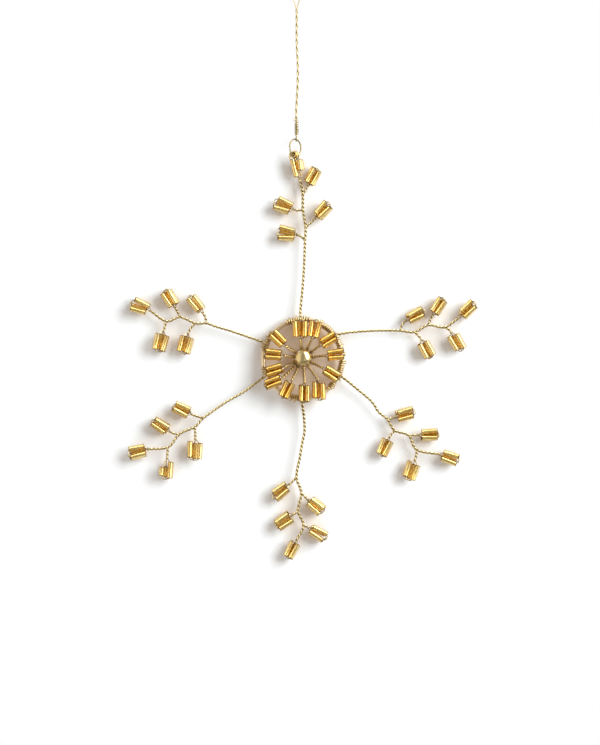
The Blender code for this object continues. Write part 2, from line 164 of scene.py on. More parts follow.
def smooth_line(points, step):
    """Points about one step apart on a Catmull-Rom curve, which passes through each given point."""
    padded = [points[0] * 2 - points[1], *points, points[-1] * 2 - points[-2]]
    line = []
    for before, start, end, after in zip(padded, padded[1:], padded[2:], padded[3:]):
        pieces = max(1, round((end - start).length / step))
        for index in range(pieces):
            t = index / pieces
            line.append(
                0.5 * (2 * start + (end - before) * t
                       + (2 * before - 5 * start + 4 * end - after) * t ** 2
                       + (3 * start - before - 3 * end + after) * t ** 3)
            )
    line.append(points[-1])
    return line


print("a wire has", WIRE_SIDES, "sides")

# %% [markdown]
# ## Twisted pairs
#
# The stems, twigs, spokes and the hanger are all two strands twisted together. Each strand is a helix round
# the pair's own line. A fixed reference direction, the picture's depth, is enough to keep the helix from
# spinning, because no line here runs straight towards the viewer.

# %% Twist two strands round a line
def twisted_pair(line, offset, pitch, start_angle=0.0, end_angle=None):
    """Two strands round a line of close points. The end angle, if given, is met by stretching the twist."""
    lengths = [0.0]
    for here, there in zip(line, line[1:]):
        lengths.append(lengths[-1] + (there - here).length)
    turn = 360 * lengths[-1] / pitch
    if end_angle is not None:
        turn += (end_angle - start_angle - turn + 90) % 180 - 90
    pair = ([], [])
    for index, point in enumerate(line):
        before = line[max(0, index - 1)]
        after = line[min(len(line) - 1, index + 1)]
        along = (after - before).normalized()
        side = along.cross(Vector((0, 1, 0))).normalized()
        front = side.cross(along)
        angle = math.radians(start_angle + turn * lengths[index] / lengths[-1])
        swing = (side * math.cos(angle) + front * math.sin(angle)) * offset
        pair[0].append(point + swing)
        pair[1].append(point - swing)
    return pair


print("a pair has 2 strands")

# %% [markdown]
# ## A shorthand for shader nodes
#
# A material is a tree of nodes, and each node takes three or four lines to add, to set and to link. Five
# small functions shorten that to a line or two. Each takes the tree first, and each input is either a plain
# value or the socket of an earlier node, so a material below reads like a recipe. Two more functions start
# an empty group and a new material.

# %% Add nodes, set them and link them
COLOUR, VALUE, VECTOR = "NodeSocketColor", "NodeSocketFloat", "NodeSocketVector"


def feed(tree, node, inputs):
    """Sets the inputs of a node. A socket is linked, and any other value is written in."""
    for name, value in inputs.items():
        if isinstance(value, bpy.types.NodeSocket):
            tree.links.new(value, node.inputs[name])
        else:
            node.inputs[name].default_value = value


def add(tree, kind, inputs=None, **settings):
    """A new node with these settings and inputs."""
    node = tree.nodes.new(kind)
    for name, value in settings.items():
        setattr(node, name, value)
    feed(tree, node, inputs or {})
    return node


def calculated(tree, operation, *values):
    """The result of a Math node."""
    return add(tree, "ShaderNodeMath", dict(enumerate(values)), operation=operation).outputs[0]


def ranged(tree, value, low, high, to_low=0.0, to_high=1.0, interpolation="LINEAR"):
    """The result of a Map Range node, from low to high."""
    inputs = {"Value": value, "From Min": low, "From Max": high, "To Min": to_low, "To Max": to_high}
    return add(tree, "ShaderNodeMapRange", inputs, interpolation_type=interpolation).outputs["Result"]


def blended(tree, share, first, second):
    """The result of a Mix node between two colours."""
    inputs = {"Factor": share, "A": first, "B": second}
    return add(tree, "ShaderNodeMix", inputs, data_type="RGBA").outputs["Result"]


def new_group(name, inputs, outputs):
    """An empty node group. An input has a name, a kind and a usual value, an output a name and a kind."""
    group = bpy.data.node_groups.new(name, "ShaderNodeTree")
    for label, kind, usual in inputs:
        group.interface.new_socket(label, in_out="INPUT", socket_type=kind).default_value = usual
    for label, kind in outputs:
        group.interface.new_socket(label, in_out="OUTPUT", socket_type=kind)
    return group


def new_material(name, flat_colour):
    """A material, its tree and its Principled shader. The flat colour is what the viewport shows."""
    made = bpy.data.materials.new(name)
    made.use_nodes = True
    made.diffuse_color = (*flat_colour, 1)
    return made, made.node_tree, made.node_tree.nodes["Principled BSDF"]


print("sockets of a group are", COLOUR, VALUE, VECTOR)

# %% [markdown]
# ## Metal
#
# Real craft wire is brass with a gold lacquer: bright, with thin tarnish where fingers twisted it. The
# grooves between two strands are darkened as painted shade. The patches of tarnish, the painted shade in the
# grooves and the small dents are alike on every metal here, so they are one node group with sliders, placed
# in each material with its own values. The group puts out a colour, a roughness and a normal, and the shader
# itself stays in the material.

# %% The worn metal group, with its painted groove shade
GROOVE_REACH = 0.5
GROOVE_EDGE = (0.98, 0.50)
# Painted shade: the near-black colour mixed into the grooves between strands, where light hardly reaches.
GROOVE_PAINTED_SHADE = (0.05, 0.03, 0.01, 1)
PATCH_EDGE = (0.42, 0.68)
PATCH_ROUGHNESS = 0.5
DENTS_PER_MM = 2.2
DENT_DEPTH = 0.04


def worn_metal_and_shade_group():
    group = new_group(
        "worn_metal_and_groove_shade",
        (
            ("Bright", COLOUR, (0.9, 0.72, 0.38, 1)),
            ("Tarnish", COLOUR, (0.45, 0.3, 0.12, 1)),
            ("Tarnish Amount", VALUE, 0.35),
            ("Patch Size", VALUE, 0.6),
            ("Groove Shade", VALUE, 0.8),
            ("Polish", VALUE, 0.25),
            ("Dents", VALUE, 0.2),
        ),
        (("Color", COLOUR), ("Roughness", VALUE), ("Normal", VECTOR)),
    )
    given = add(group, "NodeGroupInput").outputs
    place = add(group, "ShaderNodeTexCoord").outputs["Object"]

    scale = calculated(group, "DIVIDE", 1 / MM, given["Patch Size"])
    patches = add(group, "ShaderNodeTexNoise", {"Vector": place, "Scale": scale, "Detail": 4})
    patchy = ranged(group, patches.outputs["Fac"], *PATCH_EDGE)
    tarnished = calculated(group, "MULTIPLY", patchy, given["Tarnish Amount"])
    # Painted shade: where ambient occlusion finds wire close by, the colour is mixed towards near-black.
    nearby = add(group, "ShaderNodeAmbientOcclusion", {"Distance": GROOVE_REACH * MM}, samples=4)
    hidden = ranged(group, nearby.outputs["AO"], *GROOVE_EDGE)
    painted_groove_shade = calculated(group, "MULTIPLY", hidden, given["Groove Shade"])
    colour = blended(group, tarnished, given["Bright"], given["Tarnish"])

    dents = add(group, "ShaderNodeTexNoise", {"Vector": place, "Scale": DENTS_PER_MM / MM, "Detail": 2})
    pressed = {"Height": dents.outputs["Fac"], "Distance": DENT_DEPTH * MM, "Strength": given["Dents"]}
    add(group, "NodeGroupOutput", {
        "Color": blended(group, painted_groove_shade, colour, GROOVE_PAINTED_SHADE),
        "Roughness": calculated(group, "MULTIPLY_ADD", tarnished, PATCH_ROUGHNESS, given["Polish"]),
        "Normal": add(group, "ShaderNodeBump", pressed).outputs["Normal"],
    })
    return group


WORN_METAL_AND_SHADE = worn_metal_and_shade_group()
print("worn metal group has", len(WORN_METAL_AND_SHADE.nodes), "nodes")

# %% [markdown]
# Six metals differ only in these values, and so do the lining and the bore of the beads. Each metal's
# edges are painted brown as painted shade: where the surface turns away from the view it is mixed towards
# brown, standing in for the dark reflections that a round wire shows at its rims. A darker colour all over
# would also dull the highlights, so the brown is mixed in by how far the surface turns away from the view.

# %% The metals
# Painted shade: the brown that edges turning away from the view are mixed towards.
EDGE_PAINTED_SHADE = (0.16, 0.085, 0.025, 1)
EDGE_SHADE_RANGE = (0.15, 0.90)


def metal(name, bright, tarnish, amount, patch, groove_shade, polish, dents, edge_shade):
    made, tree, shader = new_material(name, bright)
    worn_and_shaded = add(tree, "ShaderNodeGroup", node_tree=WORN_METAL_AND_SHADE)
    feed(tree, worn_and_shaded, {
        "Bright": (*bright, 1), "Tarnish": (*tarnish, 1), "Tarnish Amount": amount, "Patch Size": patch,
        "Groove Shade": groove_shade, "Polish": polish, "Dents": dents,
    })
    # Painted shade: the edges that turn away from the view are mixed towards brown.
    turned_away = add(tree, "ShaderNodeLayerWeight", {"Blend": 0.5}).outputs["Facing"]
    edge = ranged(tree, turned_away, *EDGE_SHADE_RANGE, to_high=edge_shade, interpolation="SMOOTHSTEP")
    feed(tree, shader, {
        "Metallic": 1.0,
        "Base Color": blended(tree, edge, worn_and_shaded.outputs["Color"], EDGE_PAINTED_SHADE),
        "Roughness": worn_and_shaded.outputs["Roughness"],
        "Normal": worn_and_shaded.outputs["Normal"],
    })
    return made


GOLD_WIRE = metal(
    "lacquered_gold_wire", bright=(0.76, 0.64, 0.36), tarnish=(0.46, 0.31, 0.11), amount=0.3, patch=0.9,
    groove_shade=0.9, polish=0.20, dents=0.2, edge_shade=0.95,
)
# Painted light: the same wire as the arms, warmer and brighter, as painted amber light from the hub's beads.
AMBER_LIT_HUB_WIRE = metal(
    "hub_wire_with_painted_amber_light", bright=(0.95, 0.72, 0.34), tarnish=(0.55, 0.34, 0.11), amount=0.3, patch=0.9,
    groove_shade=0.9, polish=0.20, dents=0.2, edge_shade=0.75,
)
AGED_WIRE = metal(
    "aged_jump_ring_wire", bright=(0.42, 0.34, 0.18), tarnish=(0.26, 0.19, 0.08), amount=0.5, patch=1.2,
    groove_shade=0.9, polish=0.25, dents=0.2, edge_shade=0.8,
)
KNOT_WIRE = metal(
    "shaded_knot_wire", bright=(0.98, 0.74, 0.30), tarnish=(0.55, 0.34, 0.10), amount=0.4, patch=0.8,
    groove_shade=0.6, polish=0.22, dents=0.2, edge_shade=0.6,
)
RING_BRASS = metal(
    "drawn_ring_brass", bright=(0.96, 0.80, 0.56), tarnish=(0.70, 0.50, 0.30), amount=0.35, patch=2.4,
    groove_shade=1.0, polish=0.28, dents=0.15, edge_shade=0.6,
)
BALL_BRASS = metal(
    "polished_ball_brass", bright=(0.84, 0.69, 0.38), tarnish=(0.50, 0.36, 0.14), amount=0.25, patch=1.8,
    groove_shade=0.0, polish=0.06, dents=0.04, edge_shade=0.95,
)
BEAD_LINING = metal(
    "silvered_bead_lining", bright=(0.90, 0.87, 0.76), tarnish=(0.86, 0.77, 0.54), amount=0.3, patch=0.6,
    groove_shade=0.0, polish=0.16, dents=0.03, edge_shade=0.0,
)
# Painted shade: the bore is a dark brown that stands for the shade inside the hole.
BEAD_HOLE_SHADE = metal(
    "bead_bore_painted_hole_shade", bright=(0.40, 0.22, 0.07), tarnish=(0.22, 0.11, 0.03), amount=0.5, patch=0.4,
    groove_shade=0.0, polish=0.6, dents=0.2, edge_shade=0.0,
)
print("metals:", ", ".join(made.name for made in bpy.data.materials if "bead" not in made.name))

# %% [markdown]
# ## Glass
#
# The beads are amber glass over a silvered lining. Light enters the glass, meets the mirror inside and
# comes out again, so each bead shows long bright and dark stripes instead of one highlight. The quickest
# way would be a painted stripe, but a stripe would stay put when the bead turns. A glass rod with a mirror
# in it makes the stripes by itself, from every side. The amber is cloudy, deep in one place and pale in
# another, and a little smeared where it is pale. The beads of the hub are the same beads as those of the
# arms, painted a deeper amber as painted light, for the light that bounces between them.

# %% The amber glass
CLOUDS_PER_MM = 0.35
CLOUD_EDGE = (0.35, 0.65)
SMEAR = (0.02, 0.10)
GLASS_IOR = 1.5


def amber_glass(name, deep, pale):
    made, tree, shader = new_material(name, (0.9, 0.6, 0.15))
    place = add(tree, "ShaderNodeTexCoord").outputs["Object"]
    cloud = add(tree, "ShaderNodeTexNoise", {"Vector": place, "Scale": CLOUDS_PER_MM / MM, "Detail": 3})
    amber = add(tree, "ShaderNodeValToRGB", {"Fac": cloud.outputs["Fac"]})
    for stop, position, colour in zip(amber.color_ramp.elements, CLOUD_EDGE, (deep, pale)):
        stop.position = position
        stop.color = (*colour, 1)
    feed(tree, shader, {
        "Transmission Weight": 1.0,
        "IOR": GLASS_IOR,
        "Base Color": amber.outputs["Color"],
        "Roughness": ranged(tree, cloud.outputs["Fac"], 0.0, 1.0, *SMEAR),
    })
    return made


AMBER_GLASS = amber_glass("amber_cane_glass", deep=(0.965, 0.715, 0.28), pale=(0.985, 0.81, 0.42))
# Painted light: a deeper copy of the same amber for the hub's beads, for the light bouncing between them.
HUB_GLASS_PAINTED_DEEPER = amber_glass("hub_amber_glass_painted_deeper", deep=(0.94, 0.59, 0.13), pale=(0.96, 0.70, 0.23))
print("glasses:", AMBER_GLASS.name, "and", HUB_GLASS_PAINTED_DEEPER.name)

# %% [markdown]
# ## The hanger
#
# The hanger is the part that carries everything, and it settles where the picture's top edge is, so it
# comes first. It is a twisted pair of fine wire, held taut from above. At its top the two strands part and
# run on as one open loop, just outside the picture. At its foot the wire makes an eye round the jump ring
# and then wraps its own neck. The foot stands a little to the right of the ring's middle and behind it,
# where the ring's own wire passes, and the pair comes forward again on its way up. Its small bends are kept
# as steps across and up, in hundredths of its length. The pair could be a plain rod with a spiral painted
# on it, but two real strands catch the light at each crossing.

# %% The hanger's line and its two strands
STRAND = 0.36
HANGER_STRAND = 0.45
HANGER_LENGTH = 46.4
HANGER_PITCH = 5.7
HANGER_STEPS = (
    (0.0, 10), (-0.28, 18), (0.16, 26), (0.6, 34), (1.0, 42),
    (1.1, 54), (0.5, 67), (0.1, 79), (0.2, 90), (0.13, 100),
)
EYE_SLID = (0.45, 0.54)
CORD_STEP = 2.0

joints = {joint["name"]: joint for joint in frame["joints"]}
JUMP_CENTRE = Vector(joints["snowflake_sway"]["pos_m"]) / MM
wire_low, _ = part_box("hanger_wire")
neck = Vector((JUMP_CENTRE.x + EYE_SLID[0], EYE_SLID[1], wire_low[2] / MM))
hundredth = HANGER_LENGTH / 100
route = [neck, *(Vector((neck.x + x * hundredth, neck.y * (1 - z / 100), neck.z + z * hundredth))
                 for x, z in HANGER_STEPS)]
hanger_line = smooth_line(route, CORD_STEP)
hanger_pair = twisted_pair(smooth_line(hanger_line, 0.35), HANGER_STRAND / 2, HANGER_PITCH, 0, 0)
hanger_mesh = wires("hanger_strands", [(line, HANGER_STRAND) for line in hanger_pair])
hanger = own_place("hanger_strands", hanger_mesh, GOLD_WIRE)
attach(hanger, "hanger")
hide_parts("hanger_wire")
print("hanger runs from", round(neck.z, 1), "to", round(route[-1].z, 1), "mm")

# %% [markdown]
# The loop is one wire that leaves the twist to the left, goes over the hook and comes back on the right. It
# is drawn through a few points of one half, and the other half is its mirror image. The points are shares
# of half the loop's width and of its height, so the loop keeps its form at another size.

# %% The open loop on the hook
LOOP_HEIGHT = 14.2
LOOP_WIDTH = 4.6
LOOP_OVERLAP = 0.25

half = LOOP_WIDTH / 2
left_side = [
    Vector((-STRAND / 2, 0, -LOOP_HEIGHT - LOOP_OVERLAP)),
    Vector((-STRAND * 0.75, 0, -LOOP_HEIGHT * 0.95)),
    Vector((-STRAND * 1.3, 0, -LOOP_HEIGHT * 0.88)),
    Vector((-half * 0.7, 0, -LOOP_HEIGHT * 0.62)),
    Vector((-half, 0, -LOOP_HEIGHT * 0.32)),
    Vector((-half * 0.75, 0, -LOOP_HEIGHT * 0.08)),
]
right_side = [Vector((-point.x, 0, point.z)) for point in reversed(left_side)]
loop_line = smooth_line([*left_side, Vector((0, 0, STRAND / 2)), *right_side], 0.5)
loop = own_place("hanging_loop_wire", wires("hanging_loop_wire", [(loop_line, STRAND)]), GOLD_WIRE)
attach(loop, "hook_loop")
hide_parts("hanging_loop")
print("loop has", len(loop_line), "points")

# %% [markdown]
# The eye hangs in the jump ring, which is turned away from the picture plane. The wire comes down the neck,
# goes round the jump ring and winds back up over itself in close turns that swell in the middle, with a
# small curl where it was cut. The swelling comes from letting the radius of the winding grow and shrink
# along its height.

# %% The eye and its wrapped neck
JUMP_TURN = 50
EYE_TURN = 107
EYE_RADIUS = 0.85
EYE_NECK = 0.9
EYE_FROM = 62
EYE_ROUND = 304
EYE_POINTS = 24
WRAP_TURNS = 7
WRAP_POINTS = 12
WRAP_HEIGHT = 4.0
WRAP_RADIUS = STRAND * 1.56
WRAP_SWELL = 0.12
CUT_CURL = (
    (-0.72, -0.1, 1.9), (-0.8, -0.25, 1.25), (-0.35, -0.5, 0.75), (0.4, -0.45, 0.7),
    (0.75, 0.0, 0.75), (0.35, 0.5, 0.5), (-0.4, 0.5, 0.25),
)


def turned_way(degrees):
    """The direction of the picture's right, turned about the vertical."""
    return Matrix.Rotation(math.radians(degrees), 3, "Z") @ Vector((1, 0, 0))


ring_way, across_way, eye_way = turned_way(JUMP_TURN), turned_way(JUMP_TURN + 90), turned_way(EYE_TURN)
wrap_top = neck + Vector((0, 0, WRAP_HEIGHT))
eye_line = [wrap_top + Vector(curl) for curl in CUT_CURL]
for index in range(WRAP_TURNS * WRAP_POINTS + 1):
    share = 1 - index / (WRAP_TURNS * WRAP_POINTS)
    angle = 2 * math.pi * WRAP_TURNS * share
    radius = WRAP_RADIUS + WRAP_SWELL * math.sin(math.pi * share) + WRAP_SWELL / 4 * math.sin(7 * share)
    swing = across_way * math.cos(angle) + ring_way * math.sin(angle)
    eye_line.append(neck + swing * radius + Vector((0, 0, WRAP_HEIGHT * share)))
eye_line.append(neck + eye_way * 0.25 - Vector((0, 0, 0.55)))
eye_centre = neck - Vector((0, 0, EYE_RADIUS + EYE_NECK))
for index in range(EYE_POINTS + 1):
    angle = math.radians(EYE_FROM - EYE_ROUND * index / EYE_POINTS)
    eye_line.append(eye_centre + (eye_way * math.cos(angle) + Vector((0, 0, math.sin(angle)))) * EYE_RADIUS)
eye_line.append(neck - eye_way * 0.2 - Vector((0, 0, 0.5)))
eye_line.append(neck - eye_way * 0.15)
eye_mesh = wires("hanger_eye_wire", [(smooth_line(eye_line, 0.3), STRAND)])
eye = own_place("hanger_eye_wire", eye_mesh, GOLD_WIRE)
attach(eye, "hanger")
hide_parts("hanger_eye")
print("eye centre", [round(value, 2) for value in eye_centre])

# %% [markdown]
# ## The jump ring
#
# An open ring of thicker wire links the hanger to the top bundle. Its split is at the left, where one cut
# end is bent a little inwards. It could be a torus, but a torus has no split, so it is drawn as a wire like
# the others.

# %% The open jump ring
JUMP_WIRE = 0.55
JUMP_RADIUS = 3.275
JUMP_SPLIT = 185
JUMP_OPENING = 9
JUMP_POINTS = 72
END_BENT_IN = 0.35
BENT_POINTS = 5

jump_line = []
for index in range(JUMP_POINTS + 1):
    angle = math.radians(JUMP_SPLIT + JUMP_OPENING / 2 + (360 - JUMP_OPENING) * index / JUMP_POINTS)
    bent_in = END_BENT_IN * max(0, 1 - index / BENT_POINTS) ** 2
    spoke = ring_way * math.cos(angle) + Vector((0, 0, math.sin(angle)))
    jump_line.append(JUMP_CENTRE + spoke * (JUMP_RADIUS - bent_in))
jump = own_place("jump_ring_wire", wires("jump_ring_wire", [(jump_line, JUMP_WIRE)], 12), AGED_WIRE)
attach(jump, "jump_link")
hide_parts("jump_ring")
print("jump ring centre", [round(value, 2) for value in JUMP_CENTRE])

# %% [markdown]
# ## The brass ring and its windings
#
# The hub's ring is one thick wire bent round and closed. A torus could be worked out point by point, but a
# round section spun about the ring's axis is the direct way to make it, and the spin closes it by itself.

# %% The brass ring
RING_WIRE = 1.7
RING_RADIUS = 14.7
RING_SIDES = 20
RING_STEPS = 120


def brass_ring():
    shape = bmesh.new()
    bmesh.ops.create_circle(shape, segments=RING_SIDES, radius=RING_WIRE / 2 * MM)
    bmesh.ops.translate(shape, vec=(RING_RADIUS * MM, 0, 0), verts=shape.verts)
    bmesh.ops.spin(
        shape, geom=shape.edges[:], cent=(0, 0, 0), axis=(0, 1, 0), angle=2 * math.pi, steps=RING_STEPS,
        use_merge=True,
    )
    bmesh.ops.translate(shape, vec=HUB * MM, verts=shape.verts)
    bmesh.ops.recalc_face_normals(shape, faces=shape.faces)
    mesh = bpy.data.meshes.new("hub_ring_brass")
    shape.to_mesh(mesh)
    shape.free()
    mesh.shade_smooth()
    return mesh


ring = own_place("hub_ring_brass", brass_ring(), RING_BRASS)
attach(ring, "snowflake")
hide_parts("hub_ring")
print("ring has", len(ring.data.polygons), "faces")

# %% [markdown]
# The arms are tied on by winding their wire round the ring in close turns, and the turns show between the
# bundles of beads. Each winding is a helix whose own axis is bent round the ring. Turns wound by hand
# aren't even, so each one strays along the ring by its own amount, and a few stand off it a little. Two
# short binding wires are made here, and the arms' own windings come with the arms.

# %% A winding on the ring
WINDING_WIRE = 0.45
WINDING_PITCH = 0.82
WINDING_POINTS = 12
WINDING_SLACK = 0.03
WINDING_STRAY = 0.14
WINDING_LIFT = 0.7
TAIL_DEGREES = (35, 20)
BINDINGS = (("ring_binding_1", 27, 16, 1.2), ("ring_binding_2", -38, -46, 0.9))


def winding(bearing, to_bearing, tail=0.0, seed=0):
    """Turns by hand round the ring's wire from one bearing to another, with a tail of this length."""
    rng = random.Random(seed)
    way = math.copysign(1, to_bearing - bearing)
    length = math.radians(abs(to_bearing - bearing)) * RING_RADIUS
    turns = max(2, round(length / WINDING_PITCH))
    strays = [rng.uniform(-WINDING_STRAY, WINDING_STRAY) for _ in range(turns + 2)]
    lifts = [WINDING_LIFT * rng.random() ** 3 for _ in range(turns + 2)]
    points = []
    for index in range(turns * WINDING_POINTS + 5):
        turn, step = divmod(index, WINDING_POINTS)
        stray = strays[turn] + (strays[turn + 1] - strays[turn]) * step / WINDING_POINTS
        angle = math.radians(360 * index / WINDING_POINTS)
        lift = lifts[turn] + (lifts[turn + 1] - lifts[turn]) * step / WINDING_POINTS
        lift *= max(0, math.cos(angle))
        radius = (RING_WIRE + WINDING_WIRE) / 2 + WINDING_SLACK + lift
        place = bearing + way * math.degrees((index / WINDING_POINTS * length / turns + stray) / RING_RADIUS)
        points.append(HUB + in_picture(place, RING_RADIUS + radius * math.cos(angle))
                      + Vector((0, -radius * math.sin(angle), 0)))
    if tail:
        end = points[-1]
        first, second = TAIL_DEGREES
        points.append(end + in_picture(to_bearing + way * first, tail * 0.5) - Vector((0, 0.2, 0)))
        points.append(end + in_picture(to_bearing + way * second, tail) - Vector((0, 0.1, 0)))
    return points


for name, start, stop, tail in BINDINGS:
    binding_mesh = wires(f"{name}_wire", [(winding(start, stop, tail, 3), WINDING_WIRE)])
    turns = own_place(f"{name}_wire", binding_mesh, AMBER_LIT_HUB_WIRE)
    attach(turns, "snowflake")
    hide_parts(name)
    print(name, "has", len(turns.data.polygons), "faces")

# %% [markdown]
# ## Bundles of bugle beads
#
# Four beads make a bundle: two in front and two behind them, all on one thin wire that loops up and down
# through their holes. The front two often splay, closer at the twig than at their far ends, and the back
# two stand a little to one side, so that one of them peeps out. Every bundle is laid out in a frame of its
# own, along +X with its front at -Y, and that frame is turned to its twig's heading and moved to its place.

# %% How a bundle is laid out
BEAD_LENGTH = 6.0
BEAD_RADIUS = 0.985
BEAD_STEP = 2.0
BACK_PEEP = 0.1

EVEN_LENGTHS = (BEAD_LENGTH,) * 4
EVEN = (0.0, 0.0, 0.3, -0.2)
STEPPED = (0.0, 0.5, -0.2, 0.3)
LIFTED = (-0.3, 0.3, 0.4, 0.0)


def bead_places(spreads, slides, lengths, way):
    """The inner end, the outward lean and the length of the four beads: two in front, two behind."""
    near, far = spreads
    depth = BEAD_STEP / 2
    aside = way * ((near + far) / 4 - BEAD_STEP / 2 + BACK_PEEP)
    lean = math.degrees(math.asin((far - near) / 2 / BEAD_LENGTH))
    rows = (
        (-near / 2, -depth, -lean), (near / 2, -depth, lean),
        (BEAD_STEP / 2 + aside, depth, lean / 3), (aside - BEAD_STEP / 2, depth, -lean / 3),
    )
    return [
        (Vector((slide, depth, side)), lean, length)
        for (side, depth, lean), slide, length in zip(rows, slides, lengths)
    ]


def placing(seat, degrees, roll=0.0):
    """Turns a bundle's own frame to a heading in the picture and moves it to its seat."""
    turned = Matrix.Rotation(math.radians(-degrees), 4, "Y") @ Matrix.Rotation(math.radians(roll), 4, "X")
    return Matrix.Translation(seat) @ turned


print("a bead is", BEAD_LENGTH, "mm long and", 2 * BEAD_RADIUS, "mm wide")

# %% [markdown]
# A bead is a glass rod with softly melted rims. A cone operator with equal radii gives the rod, and a bevel
# on its two rims rounds them. The silvered lining is a second rod inside the glass that ends a little
# before it. A thinner rod inside that one comes out at both ends, where it is seen as the hole; it is
# painted dark brown, as painted shade for the inside of the hole. A hole cut through the glass would be
# truer, but the lining hides it all the way, so three plain rods look the same with far fewer faces.

# %% One bead of glass and its lining
BEAD_SIDES = 20
LINING_SIDES = 16
LINING_RADIUS = 0.72
BORE_SIDES = 10
BORE_RADIUS = LINING_RADIUS * 0.7
MELTED_RIM = 0.06
DARK_END = 0.25
BORE_PROUD = 0.01


def rod(sides, radius, length, rim=0.0):
    """A rod along +X from the origin, as a bmesh in metres."""
    shape = bmesh.new()
    bmesh.ops.create_cone(
        shape, cap_ends=True, segments=sides, radius1=radius * MM, radius2=radius * MM, depth=length * MM,
    )
    if rim:
        ends = [edge for edge in shape.edges if len({round(vert.co.z, 9) for vert in edge.verts}) == 1]
        bmesh.ops.bevel(
            shape, geom=ends, offset=rim * MM, segments=2, profile=0.5, affect="EDGES", material=-1,
            clamp_overlap=True,
        )
    bmesh.ops.rotate(shape, matrix=Matrix.Rotation(math.radians(90), 3, "Y"), verts=shape.verts)
    bmesh.ops.translate(shape, vec=(length / 2 * MM, 0, 0), verts=shape.verts)
    return shape


def bead_rods(length):
    """The glass, the silvered lining and the bore, painted as the hole's shade, of a bead, each with how far
    in it starts.
    """
    return (
        (rod(BEAD_SIDES, BEAD_RADIUS, length, MELTED_RIM), 0.0),
        (rod(LINING_SIDES, LINING_RADIUS, length - 2 * DARK_END), DARK_END),
        (rod(BORE_SIDES, BORE_RADIUS, length + 2 * BORE_PROUD), -BORE_PROUD),
    )


def copy_into(target, shape, matrix):
    """Adds a turned and moved copy of a bmesh to another bmesh."""
    part = bpy.data.meshes.new("part")
    shape.to_mesh(part)
    part.transform(matrix)
    target.from_mesh(part)
    bpy.data.meshes.remove(part)


def in_metres(matrix):
    """The same turn with its shift in metres."""
    scaled = matrix.copy()
    scaled.translation = matrix.translation * MM
    return scaled


print("one bead has", sum(len(shape.faces) for shape, _ in bead_rods(BEAD_LENGTH)), "faces")

# %% [markdown]
# The wire leaves the twig as an open V, runs up one bead and down its neighbour, and does the same for the
# pair behind. It leans against the inner side of each hole, so the arch past the beads is narrower than the
# bead spacing.

# %% The wire of a bundle
HOLE_SLACK = 0.38
HOLE_ENTRY = 0.5
HOLE_EXIT = 0.2
LOOP_WIRE = 0.34
TWIST_END = 0.9
ARCH_HEIGHT = 0.5
BACK_ARCH_HEIGHT = 0.35
ARCH_DEGREES = (25, 60, 90, 120, 155)


def through(bead, slack):
    """Where the wire enters a bead's hole and where it leaves it, leaning against one side."""
    start, lean, length = bead
    along = Vector((math.cos(math.radians(lean)), 0, math.sin(math.radians(lean))))
    return start + along * HOLE_ENTRY + slack, start + along * (length - HOLE_EXIT) + slack


def bundle_lines(beads, arch, starts):
    """Two loops between the twig's strands: through the two front beads, and through the two behind them."""
    low, high = sorted(starts, key=lambda start: start.z)
    slack = Vector((0, 0, HOLE_SLACK))
    lines = []
    for first, second, height in ((beads[0], beads[1], arch), (beads[3], beads[2], BACK_ARCH_HEIGHT)):
        up_in, up_out = through(first, slack)
        down_in, down_out = through(second, -slack)
        middle, half = (up_out + down_out) / 2, (down_out - up_out) / 2
        top = max(up_out.x, down_out.x) + 0.2
        bend = []
        for degrees in ARCH_DEGREES:
            angle = math.radians(degrees)
            over = middle - half * math.cos(angle)
            bend.append(Vector((top + height * math.sin(angle), over.y, over.z)))
        lines.append(smooth_line([low, up_in, up_out, *bend, down_out, down_in, high], 0.4))
    return lines


print("an arch past the front beads is", ARCH_HEIGHT, "mm high")

# %% [markdown]
# Beads that sit on a wire never lie quite true. Each one gets its own small tilt and its own turn about its
# length, so that their stripes differ. The glass of a bundle is one piece, and all that lies inside it
# another, because a piece has one slot, and glass and metal are different ones. The faces of the metal
# piece have three materials: the first is for the wire, the second for the linings and the third for the
# bores, which are painted dark as the shade inside the holes.

# %% A whole bundle
BEAD_TILT = 1.2
BEAD_TURN = 16
LINING_FACES, BORE_FACES = 1, 2


def bead_shapes(beads, bundle_place, roll, rng):
    """The glass, the linings and the bores of four beads, each as one bmesh in metres."""
    shapes = bmesh.new(), bmesh.new(), bmesh.new()
    for start, lean, length in beads:
        tilt = Matrix.Rotation(math.radians(rng.uniform(-BEAD_TILT, BEAD_TILT) - lean), 4, "Y")
        tilt = tilt @ Matrix.Rotation(math.radians(rng.uniform(-BEAD_TILT, BEAD_TILT)), 4, "Z")
        own_turn = Matrix.Rotation(math.radians(rng.uniform(-BEAD_TURN, BEAD_TURN) - roll), 4, "X")
        bead_at = bundle_place @ Matrix.Translation(start) @ tilt @ own_turn
        for target, (shape, inset) in zip(shapes, bead_rods(length)):
            copy_into(target, shape, in_metres(bead_at @ Matrix.Translation((inset, 0, 0))))
            shape.free()
    return shapes


